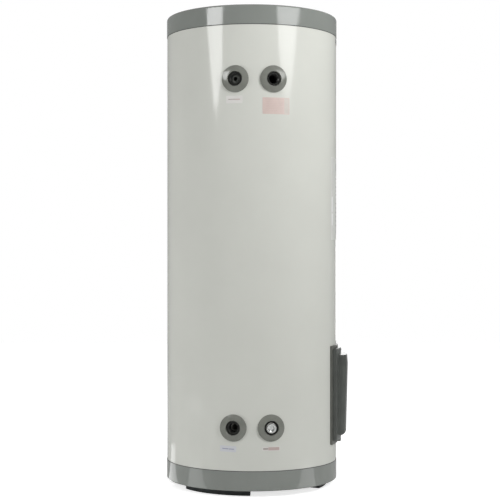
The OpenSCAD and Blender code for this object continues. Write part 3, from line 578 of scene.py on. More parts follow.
def addCard(name, corners, strength, use):
    # a glowing card out of the camera's sight, seen in gloss or felt as light
    bm = bmesh.new()
    bm.faces.new([bm.verts.new(c) for c in corners])
    obj = meshObject(name, bm)
    glow = bpy.data.materials.new(name)
    glow.use_nodes = True
    glow.node_tree.nodes.clear()
    lamp = glow.node_tree.nodes.new("ShaderNodeEmission")
    lamp.inputs["Strength"].default_value = strength
    end = glow.node_tree.nodes.new("ShaderNodeOutputMaterial")
    glow.node_tree.links.new(lamp.outputs["Emission"], end.inputs["Surface"])
    obj.data.materials.append(glow)
    obj.visible_camera = False
    obj.visible_shadow = False
    obj.visible_diffuse = use == "Light"
    obj.visible_glossy = use == "Gloss"


makeStage()
print("stage, camera and lights set")


# casing

jacketValues = {
    "sheet": 0.0008,
    "segments": 240,
    "rows": 36,
    "portHoleR": 0.0269,
    "cutFrom": 0.2,                # the cutters' reach from the axis
    "cutTo": 0.33,
    "windowFrom": 0.23,
    "windowTo": 0.4,
    "windowCorner": 0.003,
    "sealWidth": 0.004,
    "seamHalfWidth": 1.2,          # in degrees
}


def makeJacket():
    v = jacketValues
    z0, z1 = jacketLo.z, jacketHi.z
    bm = bmesh.new()
    inner = jacketR - v["sheet"]
    heights = [z0 + (z1 - z0) * i / v["rows"] for i in range(v["rows"] + 1)]
    profile = [(jacketR, z) for z in heights] + [(inner, z) for z in reversed(heights)]
    addLathe(bm, profile, None, v["segments"], around=True)
    obj = finishPiece(bm, "jacketSheet", "jacket", ["jacketPaint"], sharp=32)
    cut = bmesh.new()
    for angle, z in ports.values():
        addPin(cut, v["portHoleR"], v["cutFrom"], v["cutTo"], facing(angle, z), 64)
    lo, hi = windowBox()
    x0, x1 = v["windowFrom"], v["windowTo"]
    addBox(cut, ((x0 + x1) / 2, 0, (lo.z + hi.z) / 2), (x1 - x0, hi.y - lo.y, hi.z - lo.z), v["windowCorner"],
           steps=3)
    cutAway(obj, cut, 0)
    normals = []
    for p in obj.data.polygons:
        flat = Vector((p.center.x, p.center.y, 0)).normalized()
        wall = p.normal.dot(flat)
        for i in p.vertices:
            c = obj.data.vertices[i].co
            radial = Vector((c.x, c.y, 0)).normalized()
            normals.append(radial * math.copysign(1, wall) if abs(wall) > 0.7 else p.normal)
    obj.data.shade_smooth()
    obj.data.normals_split_custom_set(normals)


def windowBox():
    # the jacket's window, as far inside the seal's outline as the seal is wide
    lo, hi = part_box("cover_seal")
    wide = Vector((0, jacketValues["sealWidth"], jacketValues["sealWidth"]))
    return lo + wide, hi - wide


def makeSeam():
    # the jacket's folded lock seam, up the back
    v = jacketValues
    bm = bmesh.new()
    z0, z1 = baseHi.z + 0.0025, coverLo.z - 0.0025
    a = v["seamHalfWidth"]
    rise = jacketHi.y
    rows = []
    for z in (z0, z0 + 0.0006, z1 - 0.0006, z1):
        lift = 0.0003 if z in (z0, z1) else 0.0
        shape = [(-a, jacketR - 0.0004), (-a, jacketR + 0.0002), (-a * 0.86, rise - 0.0001 - lift),
                 (a * 0.70, rise - lift), (a * 0.88, rise - 0.0002 - lift), (a, jacketR + 0.0001),
                 (a, jacketR - 0.0004)]
        rows.append([(r * math.sin(math.radians(180 - t)), -r * math.cos(math.radians(180 - t)), z)
                     for t, r in shape])
    made = addRings(bm, rows)
    bm.faces.new(list(reversed(made[0])))
    bm.faces.new(made[-1])
    finishPiece(bm, "jacketSeam", None, ["jacketPaint"], sharp=40)


coverValues = {
    # bead: height of the dark bead that paints the shadow gap at each cover's hem
    "bead": 0.0016,
    "sheet": 0.001,
    "topEdge": 0.007,
    "baseEdge": 0.004,
    "capHole": 0.0335,
    "lidRise": 0.009,
    "ringRadius": 0.235,
    "ringDepth": 0.0009,
}


def addShadowBead(bm, z0, z1):
    # dark sealing bead between a cover's hem and the jacket; its dark colour is painted shade for the shadow gap under
    # the hem
    r0, r1, c = jacketR + 0.00002, casingR - coverValues["sheet"] * 0.35, 0.0004
    addLathe(bm, [(r0, z0), (r1 - c, z0), (r1, z0 + c), (r1, z1 - c), (r1 - c, z1), (r0, z1)], None, 240, mat=1,
             around=True)


def makeTopCover():
    v = coverValues
    r, t, e = casingR, v["sheet"], v["topEdge"]
    skirt = coverLo.z
    crown = coverHi.z + 0.0001
    shoulder = crown - v["lidRise"]
    flat = r - e
    sphere = (flat * flat + v["lidRise"] ** 2) / (2 * v["lidRise"])

    def lid(x):
        dish = v["ringDepth"] * math.exp(-((x - v["ringRadius"]) / 0.0035) ** 2)
        return crown - sphere + math.sqrt(sphere * sphere - x * x) - dish

    outer = [(r - 0.0009, skirt), (r - 0.0004, skirt + 0.00005), (r - 0.0001, skirt + 0.0003), (r, skirt + 0.0008)]
    outer += [(r, skirt + (shoulder - e - skirt) * k / 6) for k in range(1, 6)]
    outer += arcPoints(r - e, shoulder - e, e, 0, 90, 14)
    outer += [(x, lid(x)) for x in (0.288, 0.28, 0.27, 0.26, 0.25)]
    outer += [(v["ringRadius"] + d, lid(v["ringRadius"] + d))
              for d in (0.009, 0.006, 0.004, 0.002, 0.0, -0.002, -0.004, -0.006, -0.009)]
    outer += [(x, lid(x)) for x in (0.2, 0.17, 0.14, 0.11, 0.08, 0.055, 0.042)]
    outer += [(v["capHole"] + 0.0008, lid(v["capHole"])), (v["capHole"], lid(v["capHole"]) - 0.0005)]
    inner = [(v["capHole"], lid(v["capHole"]) - t)]
    inner += [(x, lid(x) - t) for x in (0.055, 0.11, 0.17, 0.22, 0.235, 0.25, 0.28)]
    inner += [(r - e, shoulder - t)] + arcPoints(r - e, shoulder - e, e - t, 84, 0, 8) + [(r - t, skirt + 0.0006)]
    bm = bmesh.new()
    addLathe(bm, outer + inner, None, 240, around=True)
    # dark bead under the hem: painted shadow gap
    addShadowBead(bm, coverLo.z - v["bead"], coverLo.z + 0.001)
    finishPiece(bm, "topCover", "top_cover", ["coverPaint", "softRubber"])


def makeBaseCover():
    v = coverValues
    r, t, e = casingR, v["sheet"], v["baseEdge"]
    z0, z1 = baseLo.z, baseHi.z
    outer = [(0.012, z0), (0.05, z0), (0.1, z0), (0.16, z0)]
    outer += [(0.2 + d, z0 + 0.0004 * math.exp(-(d / 0.003) ** 2)) for d in (-0.006, -0.003, 0, 0.003, 0.006)]
    outer += [(0.23, z0), (0.27, z0)]
    outer += arcPoints(r - e, z0 + e, e, 270, 360, 10)
    outer += [(r, z0 + e + (z1 - z0 - e) * k / 5) for k in range(1, 5)]
    outer += [(r, z1 - 0.0006), (r - 0.0001, z1 - 0.0002), (r - 0.0004, z1), (r - 0.0008, z1 - 0.0001)]
    inner = [(r - t, z1 - 0.0005)] + arcPoints(r - e, z0 + e, e - t, 360, 270, 6)
    inner += [(0.27, z0 + t), (0.15, z0 + t), (0.05, z0 + t), (0.012, z0 + t)]
    bm = bmesh.new()
    addLathe(bm, outer + inner, None, 240, around=True)
    # dark bead over the hem: painted shadow gap
    addShadowBead(bm, baseHi.z - 0.001, baseHi.z + v["bead"])
    finishPiece(bm, "baseCover", "base_cover", ["coverPaint", "softRubber"])


footValues = {
    "innerR": 0.230,
    "outerR": 0.265,
    "edge": 0.0024,
    "angle": 58.0,
    "spacing": 120,
    "treads": 7,
    "grooves": 2,
    "grooveDepth": 0.0009,
}


def makeFoot(number):
    v = footValues
    node = f"foot_{number + 1}"
    height = baseLo.z
    ri, ro, e = v["innerR"], v["outerR"], v["edge"]
    mid = number * v["spacing"]
    section = arcPoints(ro - e, e, e, -90, 0, 4)
    for k in range(v["grooves"]):
        z = 0.0085 + 0.005 * k
        section += [(ro, z - 0.0011), (ro - v["grooveDepth"], z - 0.0004), (ro - v["grooveDepth"], z + 0.0004),
                    (ro, z + 0.0011)]
    section += [(ro, height - 0.0006), (ro - 0.0006, height)]
    section += [(ri + 0.0006, height), (ri, height - 0.0006)] + arcPoints(ri + e, e, e, 180, 270, 4)
    for k in range(1, v["treads"]):
        x = ri + e + (ro - ri - 2 * e) * k / v["treads"]
        section += [(x - 0.0008, 0.0), (x - 0.0005, 0.0008), (x + 0.0005, 0.0008), (x + 0.0008, 0.0)]
    cr, cz = (ri + ro) / 2, height / 2
    rows = []
    spots = [0.0, 0.15, 0.5, 1.0] + [1.0 + (v["angle"] - 2) * k / 26 for k in range(1, 27)]
    spots += [v["angle"] - 0.5, v["angle"] - 0.15, v["angle"]]
    for s in spots:
        near = min(s, v["angle"] - s)
        draw = 0.0014 * max(0.0, 1 - near / 0.5) ** 2
        a = math.radians(mid - v["angle"] / 2 + s)
        row = []
        for r, z in section:
            x = r - math.copysign(draw, r - cr)
            y = min(z + draw, height) if z < cz else z
            row.append((x * math.cos(a), x * math.sin(a), y))
        rows.append(row)
    bm = bmesh.new()
    made = addRings(bm, rows)
    bm.faces.new(list(reversed(made[0])))
    bm.faces.new(made[-1])
    for side in (-1, 1):
        a = math.radians(mid + side * v["angle"] / 3)
        place = Matrix.Translation((cr * math.cos(a), cr * math.sin(a), height - 0.002))
        addLathe(bm, [(0, 0), (0.006, 0), (0.006, 0.0062), (0.0052, 0.007), (0, 0.007)], place, 32)
    finishPiece(bm, f"footRail{number + 1}", node, ["footMoulding"])


makeJacket()
makeSeam()
makeTopCover()
makeBaseCover()
for number in range(3):
    makeFoot(number)
print("casing made")


# pipe ports

portValues = {
    "socketR": 0.0225,
    "faceR": 0.301,
    "backR": 0.252,
    "threadR": 0.0151455,
    "threadRise": 0.00135,
    "pitch": 0.002309,
    "threadLength": 0.028,
    "boreR": 0.013,
    "sleeveIn": 0.0242,
    "sleeveOut": 0.0264,
    "collarR": 0.045,
    "collarRise": 0.0068,
    "rimRise": 0.0018,
    "collarBulge": 0.0005,
    "ferrules": {"hot_outlet": (0.0100, 0.0066, 0.006)},    # lip radius, hole radius, depth under the face
}


def makeSocket(name):
    v = portValues
    angle, z = ports[name]
    m = facing(angle, z)
    face, back, mouth = v["faceR"], v["backR"], 0.0015
    bm = bmesh.new()
    outer = [(v["boreR"], back), (v["socketR"] - 0.0006, back), (v["socketR"], back + 0.0006),
             (v["socketR"], face - 0.0008), (v["socketR"] - 0.0002, face - 0.0002), (v["socketR"] - 0.0008, face),
             (0.0205, face), (0.0203, face - 0.00012), (0.0187, face - 0.00012), (0.0185, face),
             (v["threadR"] + mouth + 0.0002, face)]
    addLathe(bm, outer, m, 72)
    sides, perTurn = 72, 6
    rows = int(v["threadLength"] / v["pitch"] * perTurn)
    rings = []
    for i in range(rows + 1):
        h = face - v["threadLength"] * i / rows
        depth = face - h
        fade = min(1.0, max(0.0, (v["threadLength"] - depth) / 0.004)) if depth > 0.0002 else 0.0

        def threadR(a):
            cut = v["threadRise"] * (0.5 + 0.5 * math.cos(2 * math.pi * depth / v["pitch"] + a))
            return v["threadR"] + max(cut * fade, mouth - depth, 0.0)

        rings.append(ringOf(threadR if i else v["threadR"] + mouth + 0.0002, h, sides))
    addRings(bm, rings, m)
    floor = face - v["threadLength"]
    addLathe(bm, [(v["threadR"], floor), (v["boreR"] + 0.0004, floor), (v["boreR"], floor - 0.0004),
                  (v["boreR"], back)], m, 72)
    if name in v["ferrules"]:
        # turned ferrule pressed into the mouth of the liner
        lip, hole, sunk = v["ferrules"][name]
        seat = face - sunk
        ring = [(hole, seat - 0.006), (hole, seat - 0.0004), (hole + 0.0004, seat), (lip - 0.0006, seat),
                (lip, seat - 0.0006), (lip, seat - 0.003), (v["threadR"] - 0.0001, seat - 0.0034),
                (v["threadR"] - 0.0001, seat - 0.006)]
        addLathe(bm, ring, m, 72, mat=1, around=True)
    node = f"{name}_socket"
    finishPiece(bm, camel(name) + "Socket", node, ["socketSteel", "ferruleSteel"], sharp=28)


def camel(name):
    first, *rest = name.split("_")
    return first + "".join(w.capitalize() for w in rest)


def makeCollar(name):
    # a convex ring, its skirt scribed to the round jacket, with a sleeve that lines the hole
    v = portValues
    angle, z = ports[name]
    rim, top = v["collarR"], casingR + v["collarRise"]
    edge = casingR + v["rimRise"]
    bm = bmesh.new()
    profile = [(v["sleeveIn"], casingR - 0.014), (v["sleeveIn"], top - 0.0019)]
    profile += arcPoints(v["sleeveIn"] + 0.0018, top - 0.0018, 0.0018, 180, 60, 8)
    crown0, crown1 = profile[-1], (rim - 0.0008, edge)
    for k in range(1, 15):
        s = k / 15
        bulge = v["collarBulge"] * math.sin(math.pi * min(1.0, s * 1.02)) * (1 - 0.35 * s)
        profile.append((crown0[0] + (crown1[0] - crown0[0]) * s,
                        crown0[1] + (crown1[1] - crown0[1]) * s + bulge))
    profile += [(rim - 0.0005, edge - 0.0001), (rim - 0.0001, edge - 0.0005), (rim, edge - 0.0011)]
    sides = 120
    rings = [ringOf(r, h, sides) for r, h in profile]
    for r in (rim, rim - 0.0022):
        rings.append([(x, y, math.sqrt(jacketR ** 2 - x * x) + 0.00012) for x, y, h in ringOf(r, 0, sides)])
    for r, h in ((rim - 0.0022, edge - 0.0015), (v["sleeveOut"] + 0.002, top - 0.0032), (v["sleeveOut"], top - 0.005),
                 (v["sleeveOut"], casingR - 0.014)):
        rings.append(ringOf(r, h, sides))
    m = facing(angle, z)
    addRings(bm, rings, m, around=True)
    node = f"{name}_collar"
    finishPiece(bm, camel(name) + "Collar", node, ["collarMoulding"])


plugValues = {
    "headR": 0.017,
    "headHeight": 0.005,
    "shank": 0.018,
    "hexAcross": 0.017,
    "ribs": 24,
    "ribDepth": 0.0005,
}


def makePlug():
    v = plugValues
    angle, z = ports["drain"]
    m = facing(angle, z)
    washer = portValues["faceR"] + 0.0003
    head = washer + 0.0018 + 0.0003
    top = head + v["headHeight"]
    bm = bmesh.new()
    sides = 144
    rows = [(0.0108, head - v["shank"]), (0.0142, head - v["shank"]), (0.0150, head - v["shank"] + 0.0008)]
    turns = int((v["shank"] - 0.002) / portValues["pitch"])
    for k in range(turns):
        h = head - v["shank"] + 0.0012 + k * portValues["pitch"]
        rows += [(0.0140, h), (0.01505, h + portValues["pitch"] * 0.5)]
    rows += [(0.0146, head), (v["headR"] - 0.0006, head), (v["headR"], head + 0.0006)]
    rings = [ringOf(r, h, sides) for r, h in rows]
    for r, h, rib in ((v["headR"], head + 0.0012, 1.0), (v["headR"], top - 0.0022, 1.0),
                      (v["headR"] - 0.0004, top - 0.0012, 0.5), (v["headR"] - 0.0012, top - 0.0004, 0.0),
                      (v["headR"] - 0.0026, top, 0.0), (0.0118, top - 0.0001, 0.0), (0.0112, top - 0.0006, 0.0)):
        rings.append(ringOf(knurled(r, rib * v["ribDepth"], v["ribs"]), h, sides))
    for scale, h in ((1.06, top - 0.0012), (1.0, top - 0.0018), (1.0, head - 0.0034), (0.96, head - 0.004)):
        flat = v["hexAcross"] / 2 * scale
        rings.append(ringOf(lambda a: flat / math.cos((a + math.pi / 6) % (math.pi / 3) - math.pi / 6), h, sides))
    made = addRings(bm, rings, m)
    bm.faces.new(list(reversed(made[-1])))
    inner = [(0.0108, head - v["shank"]), (0.0108, head - 0.0085), (0.0, head - 0.0075)]
    addLathe(bm, inner, m, sides)
    finishPiece(bm, "drainPlug", "drain_plug", ["plugChrome"], sharp=34, body="drain_plug")

    bm = bmesh.new()
    low, high, c = washer, washer + 0.0018, 0.0003
    ring = [(0.01535, low + c), (0.01565, low), (0.0172, low), (0.0175, low + c),
            (0.0175, high - c), (0.0172, high), (0.01565, high), (0.01535, high - c)]
    addLathe(bm, ring, m, 96, around=True)
    finishPiece(bm, "drainWasher", "drain_washer", ["fibreWasher"], body="drain_washer")


for portName in ports:
    makeSocket(portName)
    makeCollar(portName)
makePlug()
print("ports made")


# stickers and badge

def makeSticker(name, node, paper, inks, marks, size, angle=None, tilt=0.0, lift=0.0003, corner=0.002):
    # marks are (left, bottom, right, top, ink) as shares of the sticker's width and height
    centre = middle(node)
    angle = bearingOf(centre.x, centre.y) if angle is None else angle
    w, h = size
    us = sorted({0.0, 1.0, *[k / 12 for k in range(13)], *[m[0] for m in marks], *[m[2] for m in marks]})
    vs = sorted({0.0, 1.0, *[k / 6 for k in range(7)], *[m[1] for m in marks], *[m[3] for m in marks]})
    turn = math.radians(tilt)

    def spot(x, y, r):
        xx = x * math.cos(turn) - y * math.sin(turn)
        yy = x * math.sin(turn) + y * math.cos(turn)
        return onCylinder(xx, centre.z + yy, r, angle)

    bm = bmesh.new()
    back, top = jacketR + 0.00002, jacketR + lift
    rings = []
    for inset, r in ((0.0, back), (0.0, top - lift * 0.3), (lift * 0.4, top)):
        ring = outline(w / 2 - inset, -h / 2 + inset, h / 2 - inset, corner, us, vs)
        rings.append([spot(x, y, r) for x, y, side in ring])
    x0, y0 = -w / 2 + corner, -h / 2 + corner
    rings.append([spot(x, y, top) for x, y, side in outline(w / 2 - corner, y0, h / 2 - corner, 0.0, us, vs)])
    addRings(bm, rings)
    wide, high = w - 2 * corner, h - 2 * corner
    faces = addGrid(bm, [[spot(x0 + wide * u, y0 + high * v, top) for u in us] for v in vs])
    for j, i in faces:
        u, v = (us[i] + us[i + 1]) / 2, (vs[j] + vs[j + 1]) / 2
        for left, bottom, right, upper, ink in marks:
            if left < u < right and bottom < v < upper:
                faces[j, i].material_index = ink
    rim = outline(w / 2, -h / 2, h / 2, corner, us, vs)
    bm.faces.new([bm.verts.new(spot(x, y, back)) for x, y, side in reversed(rim)])
    finishPiece(bm, name, node, [paper, *inks], sharp=40)


stickerValues = {
    "hot": (0.055, 0.025),
    "relief": (0.093, 0.055),
    "cold": (0.056, 0.020),
    "drain": (0.061, 0.014),
    "rating": (0.240, 0.286),
    "badge": (0.130, 0.016),
}


def makeStickers():
    v = stickerValues
    makeSticker("hotOutletSticker", "hot_outlet_label", "paperCream", ["inkBrown", "inkRose"],
                [(0.10, 0.45, 0.58, 0.59, 1), (0.58, 0.43, 0.88, 0.60, 2)], size=v["hot"])
    lines = [(0.06, 0.90, 0.80, 0.95, 1), (0.82, 0.0, 1.0, 1.0, 2)]
    for k in range(6):
        lines.append((0.10, 0.18 + 0.11 * k, 0.78 if k else 0.55, 0.22 + 0.11 * k, 1))
    makeSticker("reliefValveSticker", "relief_valve_label", "paperPink", ["inkSoft", "inkTaupe"],
                lines, size=v["relief"])
    makeSticker("coldInletSticker", "cold_inlet_label", "paperLilac", ["inkBlue"],
                [(0.12, 0.40, 0.52, 0.60, 1), (0.55, 0.40, 0.90, 0.58, 1)], size=v["cold"], tilt=-2.0)
    makeSticker("drainSticker", "drain_label", "paperCream", ["inkBrown", "inkRose"],
                [(0.02, 0.20, 0.32, 0.80, 1), (0.33, 0.0, 0.99, 1.0, 2)], size=v["drain"])
    # two pale strips down the margin, then a blank heading bar, rows of boxes and plain lines
    blocks = [(0.008, 0.168, 0.06, 0.318, 2), (0.008, 0.334, 0.06, 0.524, 2), (0.26, 0.86, 0.97, 0.95, 3)]
    for row in range(3):
        low = 0.52 + 0.10 * row
        blocks += [(0.26 + 0.24 * k, low, 0.48 + 0.24 * k, low + 0.075, 2) for k in range(3)]
        blocks += [(0.275 + 0.24 * k, low + 0.03, 0.42 + 0.24 * k, low + 0.045, 1) for k in range(3)]
    blocks += [(0.26, 0.44 - 0.055 * k, 0.96 - 0.13 * (k % 3), 0.455 - 0.055 * k, 1) for k in range(6)]
    blocks += [(0.26, 0.05, 0.62, 0.11, 3), (0.68, 0.05, 0.96, 0.11, 3)]
    makeSticker("ratingSticker", "rating_label", "paperRating", ["inkGrey", "inkPale", "paperSilver"],
                blocks, angle=elementDir, size=v["rating"], corner=0.004)
    makeSticker("sidePlaque", "badge", "brightPlate", ["brightPlate"],
                [(0.03, 0.16, 0.97, 0.20, 1), (0.03, 0.80, 0.97, 0.84, 1)], angle=elementDir, size=v["badge"],
                lift=0.0011, corner=0.002)


makeStickers()
print("stickers made")


# element cover and its surround

coverShape = {
    "wall": 0.0025,
    "stepR": 0.316,
    "stepHalf": 0.118,
    "panelHalf": 0.092,
    "panelLow": 0.178,
    "panelHigh": 0.457,
    "panelR": 0.340,
    "footR": 0.334,
    "sideEdge": 0.014,
    "footEdge": 0.011,
    "headEdge": 0.0012,
    "headSetback": 0.0026,         # how far the panel's face leans back at its top, over headRamp
    "headRamp": 0.033,
    "stepEdge": 0.0018,
    "panelCorner": 0.006,
    "stepCorner": 0.005,
}


def makeAccessCover():
    v = coverShape
    lo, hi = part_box("access_cover")
    stepLow, stepHigh = lo.z, hi.z
    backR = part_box("cover_frame")[1].x + 0.0003
    us, vs = steps01(28), steps01(40)

    def frontR(z, off):
        knee = v["panelHigh"] - v["headRamp"]
        lean = min(1.0, max(0.0, (z - v["panelLow"]) / (knee - v["panelLow"])))
        r = v["footR"] + (v["panelR"] - v["footR"]) * lean
        back = min(1.0, max(0.0, (z - knee) / v["headRamp"]))
        return r - v["headSetback"] * back ** 1.2 - off

    def edgeOf(side):
        marks = [v["footEdge"], v["sideEdge"], v["headEdge"], v["sideEdge"], v["footEdge"]]
        k = min(int(side), 3)
        return marks[k] + (marks[k + 1] - marks[k]) * (side - k)

    def skin(bm, off):
        # off is 0 for the outside and the wall's thickness for the inside
        rings = []

        def stepRing(inset, r):
            rings.append(wrapped(r, v["stepHalf"] - off - inset, stepLow + off + inset, stepHigh - off - inset,
                                 max(v["stepCorner"] - off - inset, 0.0008), us, vs))

        e = v["stepEdge"]
        stepRing(0, backR + (0.0 if off == 0 else 0.00001))
        stepRing(0, v["stepR"] - off - e)
        stepRing(e * 0.3, v["stepR"] - off - e * 0.3)
        stepRing(e, v["stepR"] - off)
        half, low, high = v["panelHalf"] - off, v["panelLow"] + off, v["panelHigh"] - off
        for grow, rise in ((0.0012, 0.0), (0.0004, 0.0004), (0.0, 0.0014)):
            rings.append(wrapped(v["stepR"] - off + rise, half + grow, low - grow, high + grow, v["panelCorner"],
                                 us, vs))
        for k in range(0, 9):
            a = math.radians(90 * k / 8)
            side, foot, head = ((v[n] - off) * (1 - math.cos(a)) for n in ("sideEdge", "footEdge", "headEdge"))
            corner = max(v["panelCorner"] - max(side, foot), 0.0)
            w = half - side
            z0, z1 = low + max(foot, 0.0), high - max(head, 0.0)
            ring = outline(w, z0, z1, corner, us, vs)
            pts = []
            for y, z, s in ring:
                drop = max(edgeOf(s) - off, 0.0005) * (1 - math.sin(a))
                pts.append(onCylinder(y, z, max(frontR(z, off) - drop, v["stepR"] - off + 0.002), elementDir))
            rings.append(pts)
        addRings(bm, rings)
        heights = [z0 + (z1 - z0) * q for q in vs]
        addGrid(bm, [[onCylinder(-w + 2 * w * u, z, frontR(z, off), elementDir) for u in us] for z in heights])
        return rings[0]

    bm = bmesh.new()
    outer = skin(bm, 0.0)
    inner = skin(bm, v["wall"])
    addRings(bm, [outer, inner])
    obj = finishPiece(bm, "elementCover", "access_cover", ["coverMoulding"], body="element_cover")
    cut = bmesh.new()
    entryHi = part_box("cable_entry")[1]
    gap = 0.0004
    addBox(cut, (entryHi.x - 0.012, 0, stepLow + 0.0025), (0.04, entryHi.y * 2 + gap, 0.05), 0.003, steps=3)
    for y, z, seat in screwSpots():
        shift = elementAt(y, z)
        addPin(cut, 0.005, seat, seat + 0.02, shift, 40)
        addPin(cut, 0.002, seat - 0.02, seat + 0.001, shift, 24)
    cutAway(obj, cut)


def screwSpots():
    # across, height and seat of the three cover screws
    v = coverShape
    lo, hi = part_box("cover_screws")
    spots = []
    for y, z in ((0.0, hi.z - 0.004), (lo.y + 0.004, lo.z + 0.004), (hi.y - 0.004, lo.z + 0.004)):
        reach = abs(y) + 0.005
        spots.append((y, z, math.sqrt(v["stepR"] ** 2 - reach * reach) - 0.0006))
    return spots


def makeCoverScrews():
    bm = bmesh.new()
    for y, z, seat in screwSpots():
        m = elementAt(y, z)
        shank = [(0, seat - 0.013), (0.0012, seat - 0.0128)]
        for k in range(9):
            h = seat - 0.0122 + k * 0.0013
            shank += [(0.00135, h), (0.00172, h + 0.0006)]
        head = [(0.0016, seat), (0.0039, seat), (0.004, seat + 0.0002), (0.004, seat + 0.0012),
                (0.0036, seat + 0.0019), (0.0028, seat + 0.0024), (0.0024, seat + 0.0026)]
        addLathe(bm, shank + head, m, 48)
        # cross recess
        sides = 48
        rings = [ringOf(0.0024, seat + 0.0026, sides)]
        for scale, h in ((1.0, seat + 0.0026), (0.92, seat + 0.0022), (0.8, seat + 0.0012)):
            rings.append(ringOf(lambda a: (0.0008 + 0.0015 * abs(math.cos(2 * a)) ** 2.2) * scale, h, sides))
        made = addRings(bm, rings, m)
        bm.faces.new(made[-1])
    finishPiece(bm, "coverScrews", "cover_screws", ["zincPlate"], body="element_cover")


def makeCoverFrame():
    lo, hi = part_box("cover_frame")
    windowLo, windowHi = windowBox()
    r0, r1 = jacketR + 0.00005, hi.x
    us, vs = steps01(30), steps01(36)
    bm = bmesh.new()
    rings = []
    for inset, r, corner in ((0.0, r0, 0.006), (0.0, r1 - 0.0014, 0.006), (0.0004, r1 - 0.0004, 0.0056),
                             (0.0014, r1, 0.0046)):
        rings.append(wrapped(r, hi.y - inset, lo.z + inset, hi.z - inset, corner, us, vs))
    for grow, r in ((0.0008, r1), (0.0002, r1 - 0.0003), (0.0, r1 - 0.001), (0.0, r0)):
        rings.append(wrapped(r, windowHi.y + grow, windowLo.z - grow, windowHi.z + grow, 0.004, us, vs))
    addRings(bm, rings, around=True)
    obj = finishPiece(bm, "coverSurround", "cover_frame", ["frameMoulding"])
    cut = bmesh.new()
    entryLo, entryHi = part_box("cable_entry")
    r = (entryHi.x - entryLo.x) / 2 + 0.0001
    place = Matrix.Translation(((entryLo.x + entryHi.x) / 2, 0, lo.z - 0.01))
    addPin(cut, r, 0, entryHi.z - lo.z + 0.01, place, 64)
    for y, z, seat in screwSpots():
        m = elementAt(y, z)
        addPin(cut, 0.00205, 0.28, 0.32, m, 32)
    cutAway(obj, cut)


def makeCoverSeal():
    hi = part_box("cover_seal")[1]
    windowLo, windowHi = windowBox()
    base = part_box("cover_frame")[1].x
    us, vs = steps01(30), steps01(36)
    bm = bmesh.new()
    rings = []
    wide = hi.y - windowHi.y
    for k in range(9):
        a = math.radians(180 * k / 8)
        grow = wide / 2 + wide / 2 * math.cos(a)
        rings.append(wrapped(base + 0.0001 + 0.0018 * math.sin(a), windowHi.y + grow, windowLo.z - grow,
                             windowHi.z + grow, 0.004 + grow, us, vs))
    addRings(bm, rings, around=True)
    finishPiece(bm, "coverSeal", "cover_seal", ["softRubber"], sharp=50)


def makeCableEntry():
    lo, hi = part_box("cable_entry")
    r, bore = (hi.x - lo.x) / 2, 0.0065
    place = Matrix.Translation(((lo.x + hi.x) / 2, 0, 0))
    neck = r - 0.0012
    z0, z1 = lo.z, hi.z
    profile = [(bore, z0 + 0.0006), (bore + 0.0006, z0), (neck - 0.0006, z0), (neck, z0 + 0.0006), (neck, z0 + 0.004),
               (r - 0.0004, z0 + 0.0042), (r, z0 + 0.0048)]
    for k in range(6):
        h = z0 + 0.0075 + 0.0042 * k
        profile += [(r, h), (r - 0.0006, h + 0.0005), (r - 0.0006, h + 0.0013), (r, h + 0.0018)]
    profile += [(r, z1 - 0.0006), (r - 0.0006, z1), (bore + 0.0006, z1), (bore, z1 - 0.0006)]
    bm = bmesh.new()
    addLathe(bm, profile, place, 64, around=True)
    finishPiece(bm, "cableEntry", "cable_entry", ["frameMoulding"])


makeAccessCover()
makeCoverScrews()
makeCoverFrame()
makeCoverSeal()
makeCableEntry()
print("element cover made")


# lid cap

capValues = {
    "flangeR": 0.042,
    "flangeHeight": 0.004,
    "spigotR": 0.033,
    "grip": (0.044, 0.009, 0.005),
}


def makeAnodeCap():
    v = capValues
    lo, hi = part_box("anode_cap")
    under = hi.z - v["flangeHeight"] - v["grip"][2]
    top = under + v["flangeHeight"]
    r = v["flangeR"]
    bm = bmesh.new()
    profile = [(v["spigotR"] - 0.002, lo.z + 0.0004), (v["spigotR"] - 0.0016, lo.z), (v["spigotR"] - 0.0005, lo.z),
               (v["spigotR"], lo.z + 0.0006), (v["spigotR"], under), (r - 0.0008, under), (r, under + 0.0008),
               (r, top - 0.0022)]
    profile += [(r - 0.0006, top - 0.0012), (r - 0.0018, top - 0.0004), (r - 0.0035, top), (0.034, top - 0.0001),
                (0.033, top - 0.0006), (0.030, top - 0.0008), (0.012, top - 0.0008), (0.0, top - 0.0008),
                (0.0, under + 0.0008), (v["spigotR"] - 0.002, under + 0.0008)]
    addLathe(bm, profile, None, 120, around=True)
    gx, gy, gz = v["grip"]
    addBox(bm, (0, 0, top + gz / 2 - 0.0008), (gx, gy, gz + 0.0016), 0.0016, steps=4)
    for k in range(-4, 5):
        for side in (-1, 1):
            addBox(bm, (k * 0.0042, side * (gy / 2), top + 0.0014), (0.0012, 0.0008, 0.0038), 0.0003)
    finishPiece(bm, "anodeCap", "anode_cap", ["capMoulding"], body="anode_cap")


makeAnodeCap()
print("lid cap made")


# element, thermostat and wiring, seen when the cover is off

wiringValues = {
    "dialTicks": 9,
    "dialTeeth": 32,
    "dialToothDepth": 0.00035,
    "terminalPitch": 0.016,
    "wireR": 0.0016,
    "lugLength": 0.0045,
    "boltAcross": 0.013,
    "boltR": 0.004,
    "boltCircleR": 0.040,
    "boltCount": 5,
}


